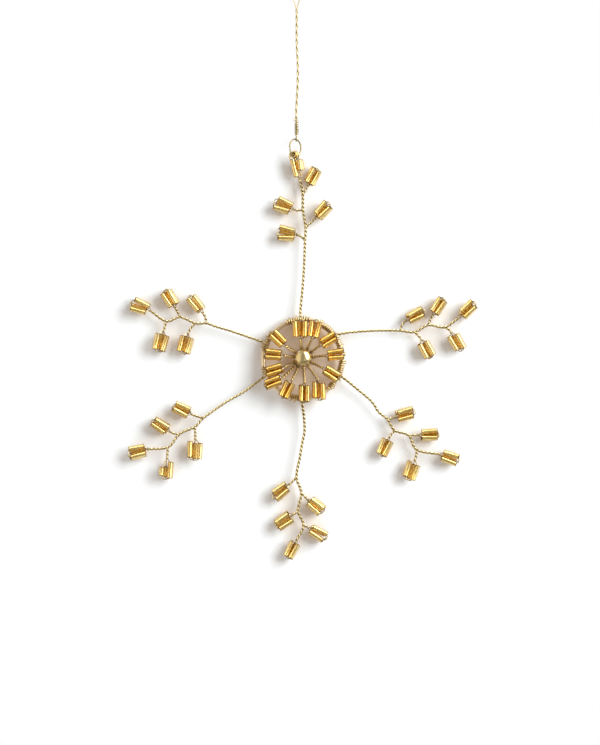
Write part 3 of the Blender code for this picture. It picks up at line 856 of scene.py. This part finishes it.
def make_bundle(
    name, seat, degrees, roll, spreads, slides, arch, starts, seed=0, lengths=EVEN_LENGTHS, cane=AMBER_GLASS,
):
    """The glass of four beads as one piece, and their linings and wire as another."""
    rng = random.Random(seed)
    way = math.copysign(1, roll or rng.choice((-1, 1)))
    beads = bead_places(spreads, slides, lengths, way)
    bundle_place = placing(seat, degrees, roll)
    glass, lining, bores = bead_shapes(beads, bundle_place, roll, rng)
    inside = bmesh.new()
    for faces, shape in ((LINING_FACES, lining), (BORE_FACES, bores)):
        for face in shape.faces:
            face.material_index = faces
        copy_into(inside, shape, Matrix.Identity(4))
        shape.free()
    own_starts = [bundle_place.inverted() @ start for start in starts]
    loops = [[bundle_place @ point for point in line] for line in bundle_lines(beads, arch, own_starts)]
    inside.from_mesh(wires("bundle_wire", [(loop, LOOP_WIRE) for loop in loops], 6))
    for suffix, shape, finishes, slot in (
        ("glass", glass, (cane,), "amber_glass"),
        ("wire", inside, (GOLD_WIRE, BEAD_LINING, BEAD_HOLE_SHADE), "gold_wire"),
    ):
        mesh = bpy.data.meshes.new(f"{name}_{suffix}")
        shape.to_mesh(mesh)
        shape.free()
        for finish in finishes:
            mesh.materials.append(finish)
        mesh.shade_smooth()
        mesh.set_sharp_from_angle(angle=SHARP_FROM)
        piece = own_place(f"{name}_{suffix}", mesh, None)
        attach(piece, "snowflake")
        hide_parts(name)


print("a bundle is two pieces: glass, and what is inside it")

# %% [markdown]
# ## The arms
#
# Each arm is one stem that zigzags from fork to fork, with a short twig at every fork and a bundle on every
# twig. An arm leaves the ring at its bearing and points at its aim. The layout is kept as points along and
# across the arm, in hundredths of the arm's reach, so that it reads like a drawing. A bundle's row is its
# place along and across, its heading from the arm's, its roll about its own length, how far apart its front
# beads are at each end, and how far each bead has slid. A winding's row is the bearing at which it ends and
# the length of its loose tail.

# %% Where the arms and their bundles are
ARM_REACH = 60.0
RIM_RADIUS = 16.065

ARMS = (
    {
        "name": "top", "bearing": 92, "aim": 90,
        "stem": ((2.3, 0.5), (16.0, -0.8), (29.8, -1.8), (41.5, -2.3)),
        "forks": ((47.2, -2.5), (55.5, -2.8), (66.5, -1.2), (75.8, -1.0)),
        "bundles": (
            (51.0, 4.0, 82, 0, (2.6, 3.9), EVEN),
            (62.2, -9.9, -44, -10, (2.0, 2.7), STEPPED),
            (67.2, 6.3, 69, 5, (2.6, 3.6), LIFTED),
            (82.9, -4.9, -30, 10, (2.4, 2.2), EVEN),
            (87.2, 0.9, 10, -12, (2.0, 2.5), (2.25, 0.0, 1.6, 2.3)),
        ),
        "windings": ((112, 0.0), (81, 1.2)),
    },
    {
        "name": "upper_left", "bearing": 157, "aim": 165,
        "stem": ((9.5, -0.8), (21.5, -1.6), (31.6, -1.9)),
        "forks": ((37.3, -2.3), (43.9, -0.5), (54.3, -1.7), (61.9, 3.0)),
        "bundles": (
            (42.6, -9.2, -36, 0, (2.0, 2.4), STEPPED),
            (46.7, 8.9, 90, 8, (3.2, 2.9), EVEN),
            (59.9, -7.9, -44, -8, (2.2, 2.6), EVEN),
            (61.9, 11.5, 90, 0, (3.4, 3.1), EVEN),
            (74.9, -1.0, -6, 0, (2.6, 3.7), LIFTED),
        ),
        "windings": ((165, 1.5), (140, 0.0)),
    },
    {
        "name": "lower_left", "bearing": 205, "aim": 212,
        "stem": ((15.0, 1.2), (30.2, 0.8)),
        "forks": ((45.4, 1.7), (53.0, 3.5), (63.6, 2.3), (73.9, 5.4)),
        "bundles": (
            (51.6, -5.7, -57, 6, (2.8, 2.3), EVEN),
            (57.8, 11.7, 56, 0, (3.8, 3.7), LIFTED),
            (68.6, -3.6, -64, -6, (2.6, 2.2), STEPPED),
            (79.3, 12.5, 53, 0, (3.1, 3.2), (2.25, 0.0, 0.2, 2.0)),
            (86.8, -0.7, -18, 5, (2.6, 3.2), EVEN),
        ),
        "windings": ((194, 1.4),),
    },
    {
        "name": "bottom", "bearing": 269, "aim": 270,
        "stem": ((8.8, 1.3), (18.2, 1.7), (25.7, 0.3), (35.2, -1.3)),
        "forks": ((47.0, -3.3), (56.8, -0.3), (68.0, -2.3), (77.2, 1.0)),
        "bundles": (
            (52.7, -9.2, -51, 0, (2.4, 3.0), LIFTED),
            (62.0, 4.8, 50, 6, (2.2, 2.8), EVEN),
            (71.7, -7.1, -55, -5, (3.0, 2.9), EVEN),
            (79.4, 5.5, 60, 0, (2.1, 2.9), STEPPED),
            (88.0, -4.0, -27, 5, (2.2, 2.0), EVEN),
        ),
        "windings": ((253, 0.9),),
    },
    {
        "name": "lower_right", "bearing": 336, "aim": -38,
        "stem": ((4.2, 0.0), (11.7, -0.2), (24.3, -0.8), (32.0, -3.3)),
        "forks": ((39.0, -3.5), (47.0, -6.2), (55.8, -3.3), (65.3, -7.2)),
        "bundles": (
            (42.9, 1.5, 55, 0, (2.5, 2.8), STEPPED),
            (47.3, -13.5, -77, 8, (2.7, 2.3), EVEN),
            (61.9, 1.9, 40, -6, (2.1, 2.5), EVEN),
            (68.9, -14.8, -71, 0, (3.4, 3.1), LIFTED),
            (79.9, -0.1, 19, 0, (2.5, 2.8), EVEN),
        ),
        "windings": ((357, 1.1), (330, 0.0)),
    },
    {
        "name": "upper_right", "bearing": 36, "aim": 3,
        "stem": ((8.3, 0.5), (21.2, 0.8), (33.8, 0.3)),
        "forks": ((39.6, -0.2), (48.3, -1.4), (57.3, 2.4), (67.4, 0.6)),
        "bundles": (
            (44.9, 6.7, 25, 5, (2.0, 2.5), STEPPED),
            (53.2, -8.2, -64, 0, (2.7, 2.8), EVEN),
            (61.2, 10.0, 54, -6, (2.0, 2.1), EVEN),
            (72.1, -4.6, -63, 6, (3.0, 2.7), LIFTED),
            (78.3, 7.6, 40, 0, (2.5, 2.6), STEPPED),
        ),
        "windings": ((65, 0.0), (31, 0.0)),
    },
)
ODD_LENGTHS = {
    "arm_top_beads_5": (4.0, 6.9, 5.0, 4.0),
    "arm_lower_left_beads_4": (3.2, 6.2, 6.0, 3.9),
}


def arm_place(arm, along, across):
    """A point of an arm's layout."""
    unit = ARM_REACH / 100
    root = HUB + in_picture(arm["bearing"], RIM_RADIUS)
    return root + in_picture(arm["aim"], along * unit) + in_picture(arm["aim"] + 90, across * unit)


print("arms:", ", ".join(arm["name"] for arm in ARMS))

# %% [markdown]
# One loop makes all the arms from their rows. The stem is a twisted pair through the forks to the last
# bundle, and each twig is a shorter pair from its fork to its own bundle, where its two strands become the
# bundle's wire. The stem's end runs on into the windings that tie the arm to the ring, which are painted
# warmer and brighter, as painted amber light from the hub's beads around them. The last bundle of the top
# arm has a long arch, because it hangs by it from the knot.

# %% Twist the arms and hang their beads
STEM_STRAND = 0.56
STEM_OFFSET = 0.28
STEM_PITCH = 3.1
TWIG_STRAND = 0.50
TWIG_OFFSET = 0.26
TWIG_PITCH = STEM_PITCH * 0.9
FINE_STEP = 0.22
ROOT_SUNK = 0.35
LONG_ARCHES = {"arm_top_beads_5": 2.6}

for arm_number, arm in enumerate(ARMS):
    forks = [arm_place(arm, *fork) for fork in arm["forks"]]
    seats = [(arm_place(arm, *bundle[:2]), arm["aim"] + bundle[2]) for bundle in arm["bundles"]]
    ends = [seat - in_picture(degrees, TWIST_END) for seat, degrees in seats]
    root_out = HUB + in_picture(arm["bearing"], RIM_RADIUS - ROOT_SUNK)
    stem_route = [root_out, *(arm_place(arm, *point) for point in arm["stem"]), *forks, ends[-1]]
    stem = twisted_pair(smooth_line(stem_route, FINE_STEP), STEM_OFFSET, STEM_PITCH, 40 * arm_number, 0)
    lines = [(strand, STEM_STRAND) for strand in stem]
    starts = []
    for number, (fork, end, (seat, degrees)) in enumerate(zip(forks, ends, seats)):
        lean = in_picture(degrees, (end - fork).length / 2)
        twig_route = [fork, fork * 0.25 + (end - lean) * 0.5 + end * 0.25, end]
        twig = twisted_pair(smooth_line(twig_route, FINE_STEP), TWIG_OFFSET, TWIG_PITCH, 60 * number, 0)
        lines += [(strand, TWIG_STRAND) for strand in twig]
        starts.append([strand[-1] for strand in twig])
    starts.append([strand[-1] for strand in stem])
    windings = [winding(arm["bearing"], stop, tail, arm_number) for stop, tail in arm["windings"]]
    turns = [(points, WINDING_WIRE) for points in windings]
    for part, shapes, metal_of in (("strands", lines, GOLD_WIRE), ("windings", turns, AMBER_LIT_HUB_WIRE)):
        wire = own_place(f"arm_{arm['name']}_{part}", wires(f"arm_{arm['name']}_{part}", shapes), metal_of)
        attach(wire, "snowflake")
        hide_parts(f"arm_{arm['name']}")
    for number, (seat, degrees) in enumerate(seats):
        _, _, _, roll, spreads, slides = arm["bundles"][number]
        bundle_name = f"arm_{arm['name']}_beads_{number + 1}"
        make_bundle(
            bundle_name, seat, degrees, roll, spreads, slides, LONG_ARCHES.get(bundle_name, ARCH_HEIGHT),
            starts[number], seed=10 * arm_number + number, lengths=ODD_LENGTHS.get(bundle_name, EVEN_LENGTHS),
        )
    print("arm", arm["name"], "has", len(seats), "bundles")

# %% [markdown]
# The last bundle of the top arm is knotted to the jump ring: its wire goes round the foot of the ring three
# times and comes down again beside the longest bead. The turns keep clear of the ring's wire, so the
# snowflake can slide on it.

# %% The knot on the jump ring
KNOT_TURNS = 3
KNOT_POINTS = 14
KNOT_START = 150
KNOT_FROM = 240
KNOT_TO = 296
KNOT_SEAT = 2.65
KNOT_RADIUS = 1.1
KNOT_STRAY = 0.1
KNOT_WIRE_WIDTH = 0.64


def beside_knot(across, up):
    """A point so far to the right of the jump ring's foot and so far above it, a little to the front."""
    return JUMP_CENTRE + Vector((across, -0.3, up - JUMP_RADIUS))


knot_line = [beside_knot(-1.9, -0.9), beside_knot(-2.05, 0.3), beside_knot(-1.75, 1.3)]
for index in range(KNOT_TURNS * KNOT_POINTS + 1):
    angle = math.radians(KNOT_START) + 2 * math.pi * index / KNOT_POINTS
    bearing = math.radians(KNOT_FROM + (KNOT_TO - KNOT_FROM) * index / (KNOT_TURNS * KNOT_POINTS))
    inwards = ring_way * math.cos(bearing) + Vector((0, 0, math.sin(bearing)))
    swing = inwards * math.cos(angle) + across_way * math.sin(angle)
    radius = KNOT_RADIUS + KNOT_STRAY * math.sin(1.7 * angle)
    knot_line.append(JUMP_CENTRE + inwards * KNOT_SEAT + swing * radius)
knot_line += [beside_knot(0.1, -0.7), beside_knot(-0.2, -1.2)]
knot_mesh = wires("top_knot_wire", [(smooth_line(knot_line, 0.25), KNOT_WIRE_WIDTH)])
knot = own_place("top_knot_wire", knot_mesh, KNOT_WIRE)
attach(knot, "snowflake")
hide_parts("arm_top_beads_5")
print("knot has", KNOT_TURNS, "turns")

# %% [markdown]
# ## The hub
#
# Twelve more bundles lie over the ring like petals. Their wires are twisted into spokes that meet behind
# the ball, where they are worked together. A bundle's row is its bearing from the hub's centre, its
# distance in hundredths of the ring's radius, its heading, how far apart its front beads are at each end,
# and how far each bead has slid.

# %% Where the petals are
HUB_BUNDLES = (
    (94.8, 76.7, 91, (3.3, 3.6), EVEN),
    (68.6, 81.8, 79, (2.2, 3.1), EVEN),
    (36.2, 80.8, 33, (2.0, 2.0), STEPPED),
    (7.5, 85.0, 7, (2.0, 2.3), EVEN),
    (-27.0, 83.2, -32, (2.0, 2.3), EVEN),
    (-63.0, 90.0, -89, (2.9, 3.1), LIFTED),
    (-87.0, 87.5, -91, (2.2, 2.4), EVEN),
    (-117.0, 87.6, -115, (2.4, 2.1), EVEN),
    (-141.7, 95.2, -159, (2.0, 2.0), EVEN),
    (-158.6, 75.8, -162, (2.0, 2.0), STEPPED),
    (171.5, 75.0, 175, (2.0, 2.2), EVEN),
    (140.5, 81.4, 136, (2.0, 2.2), EVEN),
)
HUB_ARCH_HEIGHT = 0.3
HUB_BEAD_FRONT = 2.835
print("the hub has", len(HUB_BUNDLES), "petals")

# %% [markdown]
# A spoke is a twisted pair from behind the ball to its petal. It comes forward past the ball's edge, where
# two more turns of wire close it. The spokes could end at the ball's surface, but they are seen from behind
# as well, so they run on to a flat tangle of three uneven rings, which stands for the place where the wires
# are worked together.

# %% Spokes and petals
SPOKE_STRAND = 0.54
SPOKE_OFFSET = 0.30
SPOKE_PITCH = 2.5
SPOKE_BEND_RADIUS = 3.4
SPOKE_BEND_BEHIND = 0.2
ROOT_WIRE = 0.42
ROOT_TURNS = 2
ROOT_POINTS = 12
ROOT_START = 3.1
ROOT_LENGTH = 1.3
ROOT_RADIUS = 0.62
TANGLE = HUB + Vector((0.2, 0.8, 0.4))
TANGLE_RINGS = 3
TANGLE_POINTS = 24
TANGLE_RADIUS = 1.15
TANGLE_STRAY = 0.12
TANGLE_STEP = 0.42


def spoke_root(lead, number):
    """The turns that close a spoke's twist, just outside the ball."""
    sideways = lead.cross(Vector((0, 1, 0)))
    points = []
    for index in range(ROOT_TURNS * ROOT_POINTS + 1):
        angle = math.radians(360 / ROOT_POINTS * index + 50 * number)
        swing = sideways * math.cos(angle) + Vector((0, math.sin(angle), 0))
        outwards = ROOT_START + ROOT_LENGTH * index / (ROOT_TURNS * ROOT_POINTS)
        place = TANGLE + lead * outwards + swing * ROOT_RADIUS
        points.append(Vector((place.x, HUB.y + swing.y * ROOT_RADIUS, place.z)))
    return points


spoke_lines = []
for number, (bearing, outwards, heading, spreads, slides) in enumerate(HUB_BUNDLES, 1):
    middle = HUB + in_picture(bearing, RING_RADIUS * outwards / 100)
    middle.y -= HUB_BEAD_FRONT + BEAD_STEP / 2
    seat = middle - in_picture(heading, BEAD_LENGTH / 2)
    lead = Vector((seat.x - TANGLE.x, 0, seat.z - TANGLE.z)).normalized()
    end = seat - (lead + in_picture(heading)).normalized() * TWIST_END
    bend = TANGLE + lead * SPOKE_BEND_RADIUS
    bend.y = HUB.y + SPOKE_BEND_BEHIND
    spoke_route = [TANGLE - lead * 0.6, bend, (bend + end) / 2, end]
    spoke = twisted_pair(smooth_line(spoke_route, FINE_STEP), SPOKE_OFFSET, SPOKE_PITCH, 50 * number, 0)
    spoke_lines += [(strand, SPOKE_STRAND) for strand in spoke]
    spoke_lines.append((spoke_root(lead, number), ROOT_WIRE))
    make_bundle(
        f"hub_beads_{number:02d}", seat, heading, 0, spreads, slides, HUB_ARCH_HEIGHT,
        [strand[-1] for strand in spoke], seed=100 + number, cane=HUB_GLASS_PAINTED_DEEPER,
    )

rng = random.Random(5)
for turn in range(TANGLE_RINGS):
    tangle = []
    for index in range(TANGLE_POINTS + 1):
        angle = 2 * math.pi * index / TANGLE_POINTS + turn
        radius = TANGLE_RADIUS + TANGLE_STRAY * rng.uniform(-1, 1)
        step_back = (turn - 1) * TANGLE_STEP
        tangle.append(TANGLE + Vector((radius * math.cos(angle), step_back, radius * math.sin(angle))))
    spoke_lines.append((smooth_line(tangle, 0.3), SPOKE_STRAND))
spokes = own_place("hub_spoke_strands", wires("hub_spoke_strands", spoke_lines, 6), AMBER_LIT_HUB_WIRE)
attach(spokes, "snowflake")
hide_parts("hub_spokes")
print("spokes have", len(spokes.data.polygons), "faces")

# %% [markdown]
# The ball is a polished hollow bead. A sphere operator with its poles at the front and the back would show
# its poles to the viewer, so the poles are left above and below, where no highlight crosses them.

# %% The polished ball
BALL_DIAMETER = 7.1
ball_low, ball_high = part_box("centre_ball")
ball_centre = (Vector(ball_low) + Vector(ball_high)) / 2


def polished_ball():
    shape = bmesh.new()
    bmesh.ops.create_uvsphere(shape, u_segments=64, v_segments=40, radius=BALL_DIAMETER / 2 * MM)
    bmesh.ops.translate(shape, vec=ball_centre, verts=shape.verts)
    mesh = bpy.data.meshes.new("centre_ball_brass")
    shape.to_mesh(mesh)
    shape.free()
    mesh.shade_smooth()
    return mesh


ball = own_place("centre_ball_brass", polished_ball(), BALL_BRASS)
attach(ball, "snowflake")
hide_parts("centre_ball")
print("ball has", len(ball.data.polygons), "faces")

# %% [markdown]
# ## White paper
#
# The photograph was taken against white paper close behind the snowflake, and the soft shadows fall to the
# left and a little down. The paper is a plain diffuse sheet, lit just enough to be white outside the
# shadows. It follows the snowflake's back, because a fixed sheet would hide a snowflake that swings
# backwards. It is clear from behind, so that the back can be seen, and it is gone while the snowflake is
# turned away, or it would keep the light off. It is shaded as if it always faced straight forwards, so that
# it stays white when the snowflake tilts. Close to the beads the paper is painted amber, as painted light
# for the amber that the beads throw on it, more where it is closed in, and towards its edges it fades into
# the white room.

# %% The paper's material
PAPER = (0.96, 0.97, 0.99, 1)
PAINTED_AMBER_BOUNCE = (0.98, 0.68, 0.41, 1)
AMBER_BOUNCE_REACH = 14.0
AMBER_BOUNCE_EDGE = (0.24, 0.72)
GONE_FROM = (-0.82, -0.80)
EDGE_FADE = 0.06


def white_paper():
    made, tree, shader = new_material("white_paper", (1, 1, 1))
    tree.nodes.remove(shader)
    sheet = add(tree, "ShaderNodeNewGeometry").outputs
    # Painted light: where ambient occlusion finds beads nearby, the paper is mixed towards amber.
    nearby = add(tree, "ShaderNodeAmbientOcclusion", {"Distance": AMBER_BOUNCE_REACH * MM}, samples=8).outputs["AO"]
    colour = blended(tree, ranged(tree, nearby, *AMBER_BOUNCE_EDGE), PAINTED_AMBER_BOUNCE, PAPER)
    forwards = add(tree, "ShaderNodeCombineXYZ", {"Y": -1.0}).outputs["Vector"]
    diffuse = add(tree, "ShaderNodeBsdfDiffuse", {"Color": colour, "Normal": forwards}).outputs["BSDF"]

    facing = add(tree, "ShaderNodeSeparateXYZ", {"Vector": sheet["Normal"]}).outputs["Y"]
    place = add(tree, "ShaderNodeTexCoord").outputs["Generated"]
    middle = (0.5, 0.5, 0.5)
    from_middle = add(tree, "ShaderNodeVectorMath", {0: place, 1: middle}, operation="SUBTRACT")
    outwards = add(tree, "ShaderNodeVectorMath", {0: from_middle.outputs["Vector"]}, operation="ABSOLUTE")
    sides = add(tree, "ShaderNodeSeparateXYZ", {"Vector": outwards.outputs["Vector"]}).outputs
    near_edge = ranged(tree, calculated(tree, "MAXIMUM", sides["X"], sides["Z"]), 0.5 - EDGE_FADE, 0.5)
    gone = calculated(tree, "MAXIMUM", near_edge, ranged(tree, facing, *GONE_FROM))
    see_through = calculated(tree, "MAXIMUM", gone, sheet["Backfacing"])
    clear = add(tree, "ShaderNodeBsdfTransparent").outputs["BSDF"]
    one_sided = add(tree, "ShaderNodeMixShader", {"Fac": see_through, 1: diffuse, 2: clear}).outputs["Shader"]
    feed(tree, tree.nodes["Material Output"], {"Surface": one_sided})
    return made


WHITE_PAPER = white_paper()
print("paper has", len(WHITE_PAPER.node_tree.nodes), "nodes")

# %% [markdown]
# The sheet is one face of a grid, turned upright and moved behind the hub. It is part of the photographer's
# table and not of the ornament.

# %% The sheet
PAPER_BEHIND = 3.9
PAPER_WIDTH = 240.0
PAPER_TOP = 84.0
PAPER_BOTTOM = -120.0

sheet = bmesh.new()
bmesh.ops.create_grid(sheet, x_segments=1, y_segments=1, size=0.5 * MM)
bmesh.ops.scale(sheet, vec=(PAPER_WIDTH, PAPER_TOP - PAPER_BOTTOM, 1), verts=sheet.verts)
bmesh.ops.rotate(sheet, matrix=Matrix.Rotation(math.radians(90), 3, "X"), verts=sheet.verts)
sheet_middle = HUB + Vector((0, PAPER_BEHIND, (PAPER_TOP + PAPER_BOTTOM) / 2))
bmesh.ops.translate(sheet, vec=sheet_middle * MM, verts=sheet.verts)
backdrop_mesh = bpy.data.meshes.new("backdrop")
sheet.to_mesh(backdrop_mesh)
sheet.free()
backdrop = own_place("backdrop", backdrop_mesh, WHITE_PAPER)
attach(backdrop, "snowflake")
print("backdrop", PAPER_BEHIND, "mm behind the hub")

# %% [markdown]
# ## Light
#
# One tall lamp at the right makes the shadows. It is large, so that they are soft, and far away, so that
# the paper is as bright at its far edge as at its near one. It isn't seen in the gold: what the gold
# mirrors are the soft cards of the room, made below.

# %% Lamp
LAMP_FROM = Vector((860, -900, 440))
LAMP_WIDTH = 840.0
LAMP_HEIGHT = 1080.0
LAMP_POWER = 22.0
LAMP_COLOUR = (0.78, 0.85, 0.88)

lamp_data = bpy.data.lights.new("window_light", "AREA")
lamp_data.shape = "ELLIPSE"
lamp_data.size = LAMP_WIDTH * MM
lamp_data.size_y = LAMP_HEIGHT * MM
lamp_data.energy = LAMP_POWER
lamp_data.color = LAMP_COLOUR
lamp = bpy.data.objects.new("window_light", lamp_data)
bpy.context.scene.collection.objects.link(lamp)
lamp.location = (HUB + LAMP_FROM) * MM
lamp.rotation_euler = LAMP_FROM.to_track_quat("Z", "Y").to_euler()
lamp.visible_glossy = False
lamp.visible_transmission = False
print("lamp", LAMP_POWER, "W")

# %% [markdown]
# The room is a few soft cards, kept as one node group: a card has a direction, a width and a height, and
# the group puts out how much of the card lies in a given direction. Photographed room pictures are the
# usual way, but cards can be moved until each highlight sits where the picture has it.

# %% One soft card
CARD_CORNERS = 2.6
CARD_EDGE = (1.35, 0.65)


def soft_card_group():
    directions = tuple((name, VECTOR, (0, 0, 0)) for name in ("Direction", "Toward", "Across", "Up"))
    sizes = (("Width", VALUE, 0.5), ("Height", VALUE, 0.5))
    group = new_group("soft_card", (*directions, *sizes), (("Share", VALUE),))
    given = add(group, "NodeGroupInput").outputs

    def along(axis):
        inputs = {0: given["Direction"], 1: given[axis]}
        return add(group, "ShaderNodeVectorMath", inputs, operation="DOT_PRODUCT").outputs["Value"]

    def outwards(axis, size):
        share = calculated(group, "ABSOLUTE", calculated(group, "DIVIDE", along(axis), given[size]))
        return calculated(group, "POWER", share, CARD_CORNERS)

    far_out = calculated(group, "ADD", outwards("Across", "Width"), outwards("Up", "Height"))
    inside = ranged(group, far_out, *CARD_EDGE, interpolation="SMOOTHSTEP")
    ahead = calculated(group, "GREATER_THAN", along("Toward"), 0.0)
    add(group, "NodeGroupOutput", {"Share": calculated(group, "MULTIPLY", inside, ahead)})
    return group


SOFT_CARD = soft_card_group()
print("soft card group has", len(SOFT_CARD.nodes), "nodes")

# %% [markdown]
# A tall white card at the right is the window, a dimmer warm one stands at the left, and between them the
# room is dark where the viewer is. Every bead of the photograph shows a pale stripe, whichever way it lies,
# so two small lamps above are mirrored by the glass alone, and the dark viewer by the metal alone. In the
# glass the viewer is only a small dark lens. A card's row is its name, direction, width, height, strength
# and colour, and what mirrors it.

# %% The cards of the room
CARDS = (
    ("ceiling", Vector((-0.1, -0.50, 0.86)), 0.85, 0.42, 0.55, (1.0, 0.95, 0.86), "all"),
    ("overhead_strip", Vector((-0.1, -0.56, 0.82)), 0.62, 0.16, 4.0, (1.0, 0.98, 0.92), "glass"),
    ("floor", Vector((0.0, -0.50, -0.86)), 0.85, 0.36, 0.30, (1.0, 0.88, 0.70), "all"),
    ("warm_card", Vector((-0.85, -0.50, 0.05)), 0.44, 0.75, 0.95, (1.0, 0.88, 0.70), "all"),
    ("left_lamp", Vector((-0.52, -0.72, 0.46)), 0.22, 0.26, 4.2, (1.0, 0.98, 0.92), "glass"),
    ("window", Vector((0.76, -0.44, 0.44)), 0.38, 0.66, 5.2, (1.0, 1.0, 0.95), "all"),
    ("viewer", Vector((-0.08, -1.0, 0.0)), 0.30, 0.90, 0.38, (1.0, 0.92, 0.78), "metal"),
    ("viewer_lens", Vector((0.06, -1.0, 0.04)), 0.20, 0.20, 0.12, (1.0, 0.80, 0.50), "glass"),
)


def add_card(tree, light, direction, card, mirrored_by):
    """The light of the room with one more card in it."""
    name, toward, width, height, strength, colour, mirror = card
    toward = toward.normalized()
    across = Vector((-toward.y, toward.x, 0)).normalized()
    shape = add(tree, "ShaderNodeGroup", node_tree=SOFT_CARD, name=name)
    feed(tree, shape, {
        "Direction": direction, "Toward": toward, "Across": across, "Up": toward.cross(across),
        "Width": width, "Height": height,
    })
    share = shape.outputs["Share"]
    if mirror in mirrored_by:
        share = calculated(tree, "MULTIPLY", share, mirrored_by[mirror])
    return blended(tree, share, light, (*(strength * part for part in colour), 1))


print("room has", len(CARDS), "soft cards")

# %% [markdown]
# The world tells three kinds of light apart. The camera sees plain white. The paper gets an even light of
# its own, so that its shadows stay pale. Mirrored rays see the room with its cards, which is white behind
# the ornament, where the paper would be.

# %% World
AMBIENT = 0.585
AMBIENT_COLOUR = (1.0, 0.93, 0.86, 1)
ROOM = (0.62, 0.58, 0.48, 1)
WHITE = (1, 1, 1, 1)
BEHIND_EDGE = (-0.05, 0.2)


def studio_world():
    world = bpy.data.worlds.new("studio")
    world.use_nodes = True
    world.cycles.sampling_method = "NONE"
    tree = world.node_tree
    tree.nodes.clear()
    rays = add(tree, "ShaderNodeLightPath").outputs
    through_glass = rays["Is Transmission Ray"]
    mirrored_by = {"glass": through_glass, "metal": calculated(tree, "SUBTRACT", 1.0, through_glass)}
    direction = add(tree, "ShaderNodeTexCoord").outputs["Generated"]
    depth = add(tree, "ShaderNodeSeparateXYZ", {"Vector": direction}).outputs["Y"]
    light = blended(tree, ranged(tree, depth, *BEHIND_EDGE), ROOM, WHITE)
    for card in CARDS:
        light = add_card(tree, light, direction, card, mirrored_by)

    def background(colour, strength=1.0):
        inputs = {"Color": colour, "Strength": strength}
        return add(tree, "ShaderNodeBackground", inputs).outputs["Background"]

    seen = background(light)
    for ray, own_light in (("Is Diffuse Ray", background(AMBIENT_COLOUR, AMBIENT)),
                           ("Is Camera Ray", background(WHITE))):
        seen = add(tree, "ShaderNodeMixShader", {"Fac": rays[ray], 1: seen, 2: own_light}).outputs["Shader"]
    add(tree, "ShaderNodeOutputWorld", {"Surface": seen})
    return world


bpy.context.scene.world = studio_world()
bpy.context.scene.view_settings.view_transform = "Standard"
print("world has", len(bpy.context.scene.world.node_tree.nodes), "nodes")

# %% [markdown]
# Light that falls between the beads of a bundle goes from mirror to mirror many times before it comes out,
# deeper in colour each time. It needs more bounces than usual, or the gaps between the beads would be
# black.

# %% Bounces
BEAD_BOUNCES = 24

bpy.context.scene.cycles.max_bounces = BEAD_BOUNCES
bpy.context.scene.cycles.glossy_bounces = BEAD_BOUNCES
bpy.context.scene.cycles.transmission_bounces = BEAD_BOUNCES
print("light bounces up to", BEAD_BOUNCES, "times")
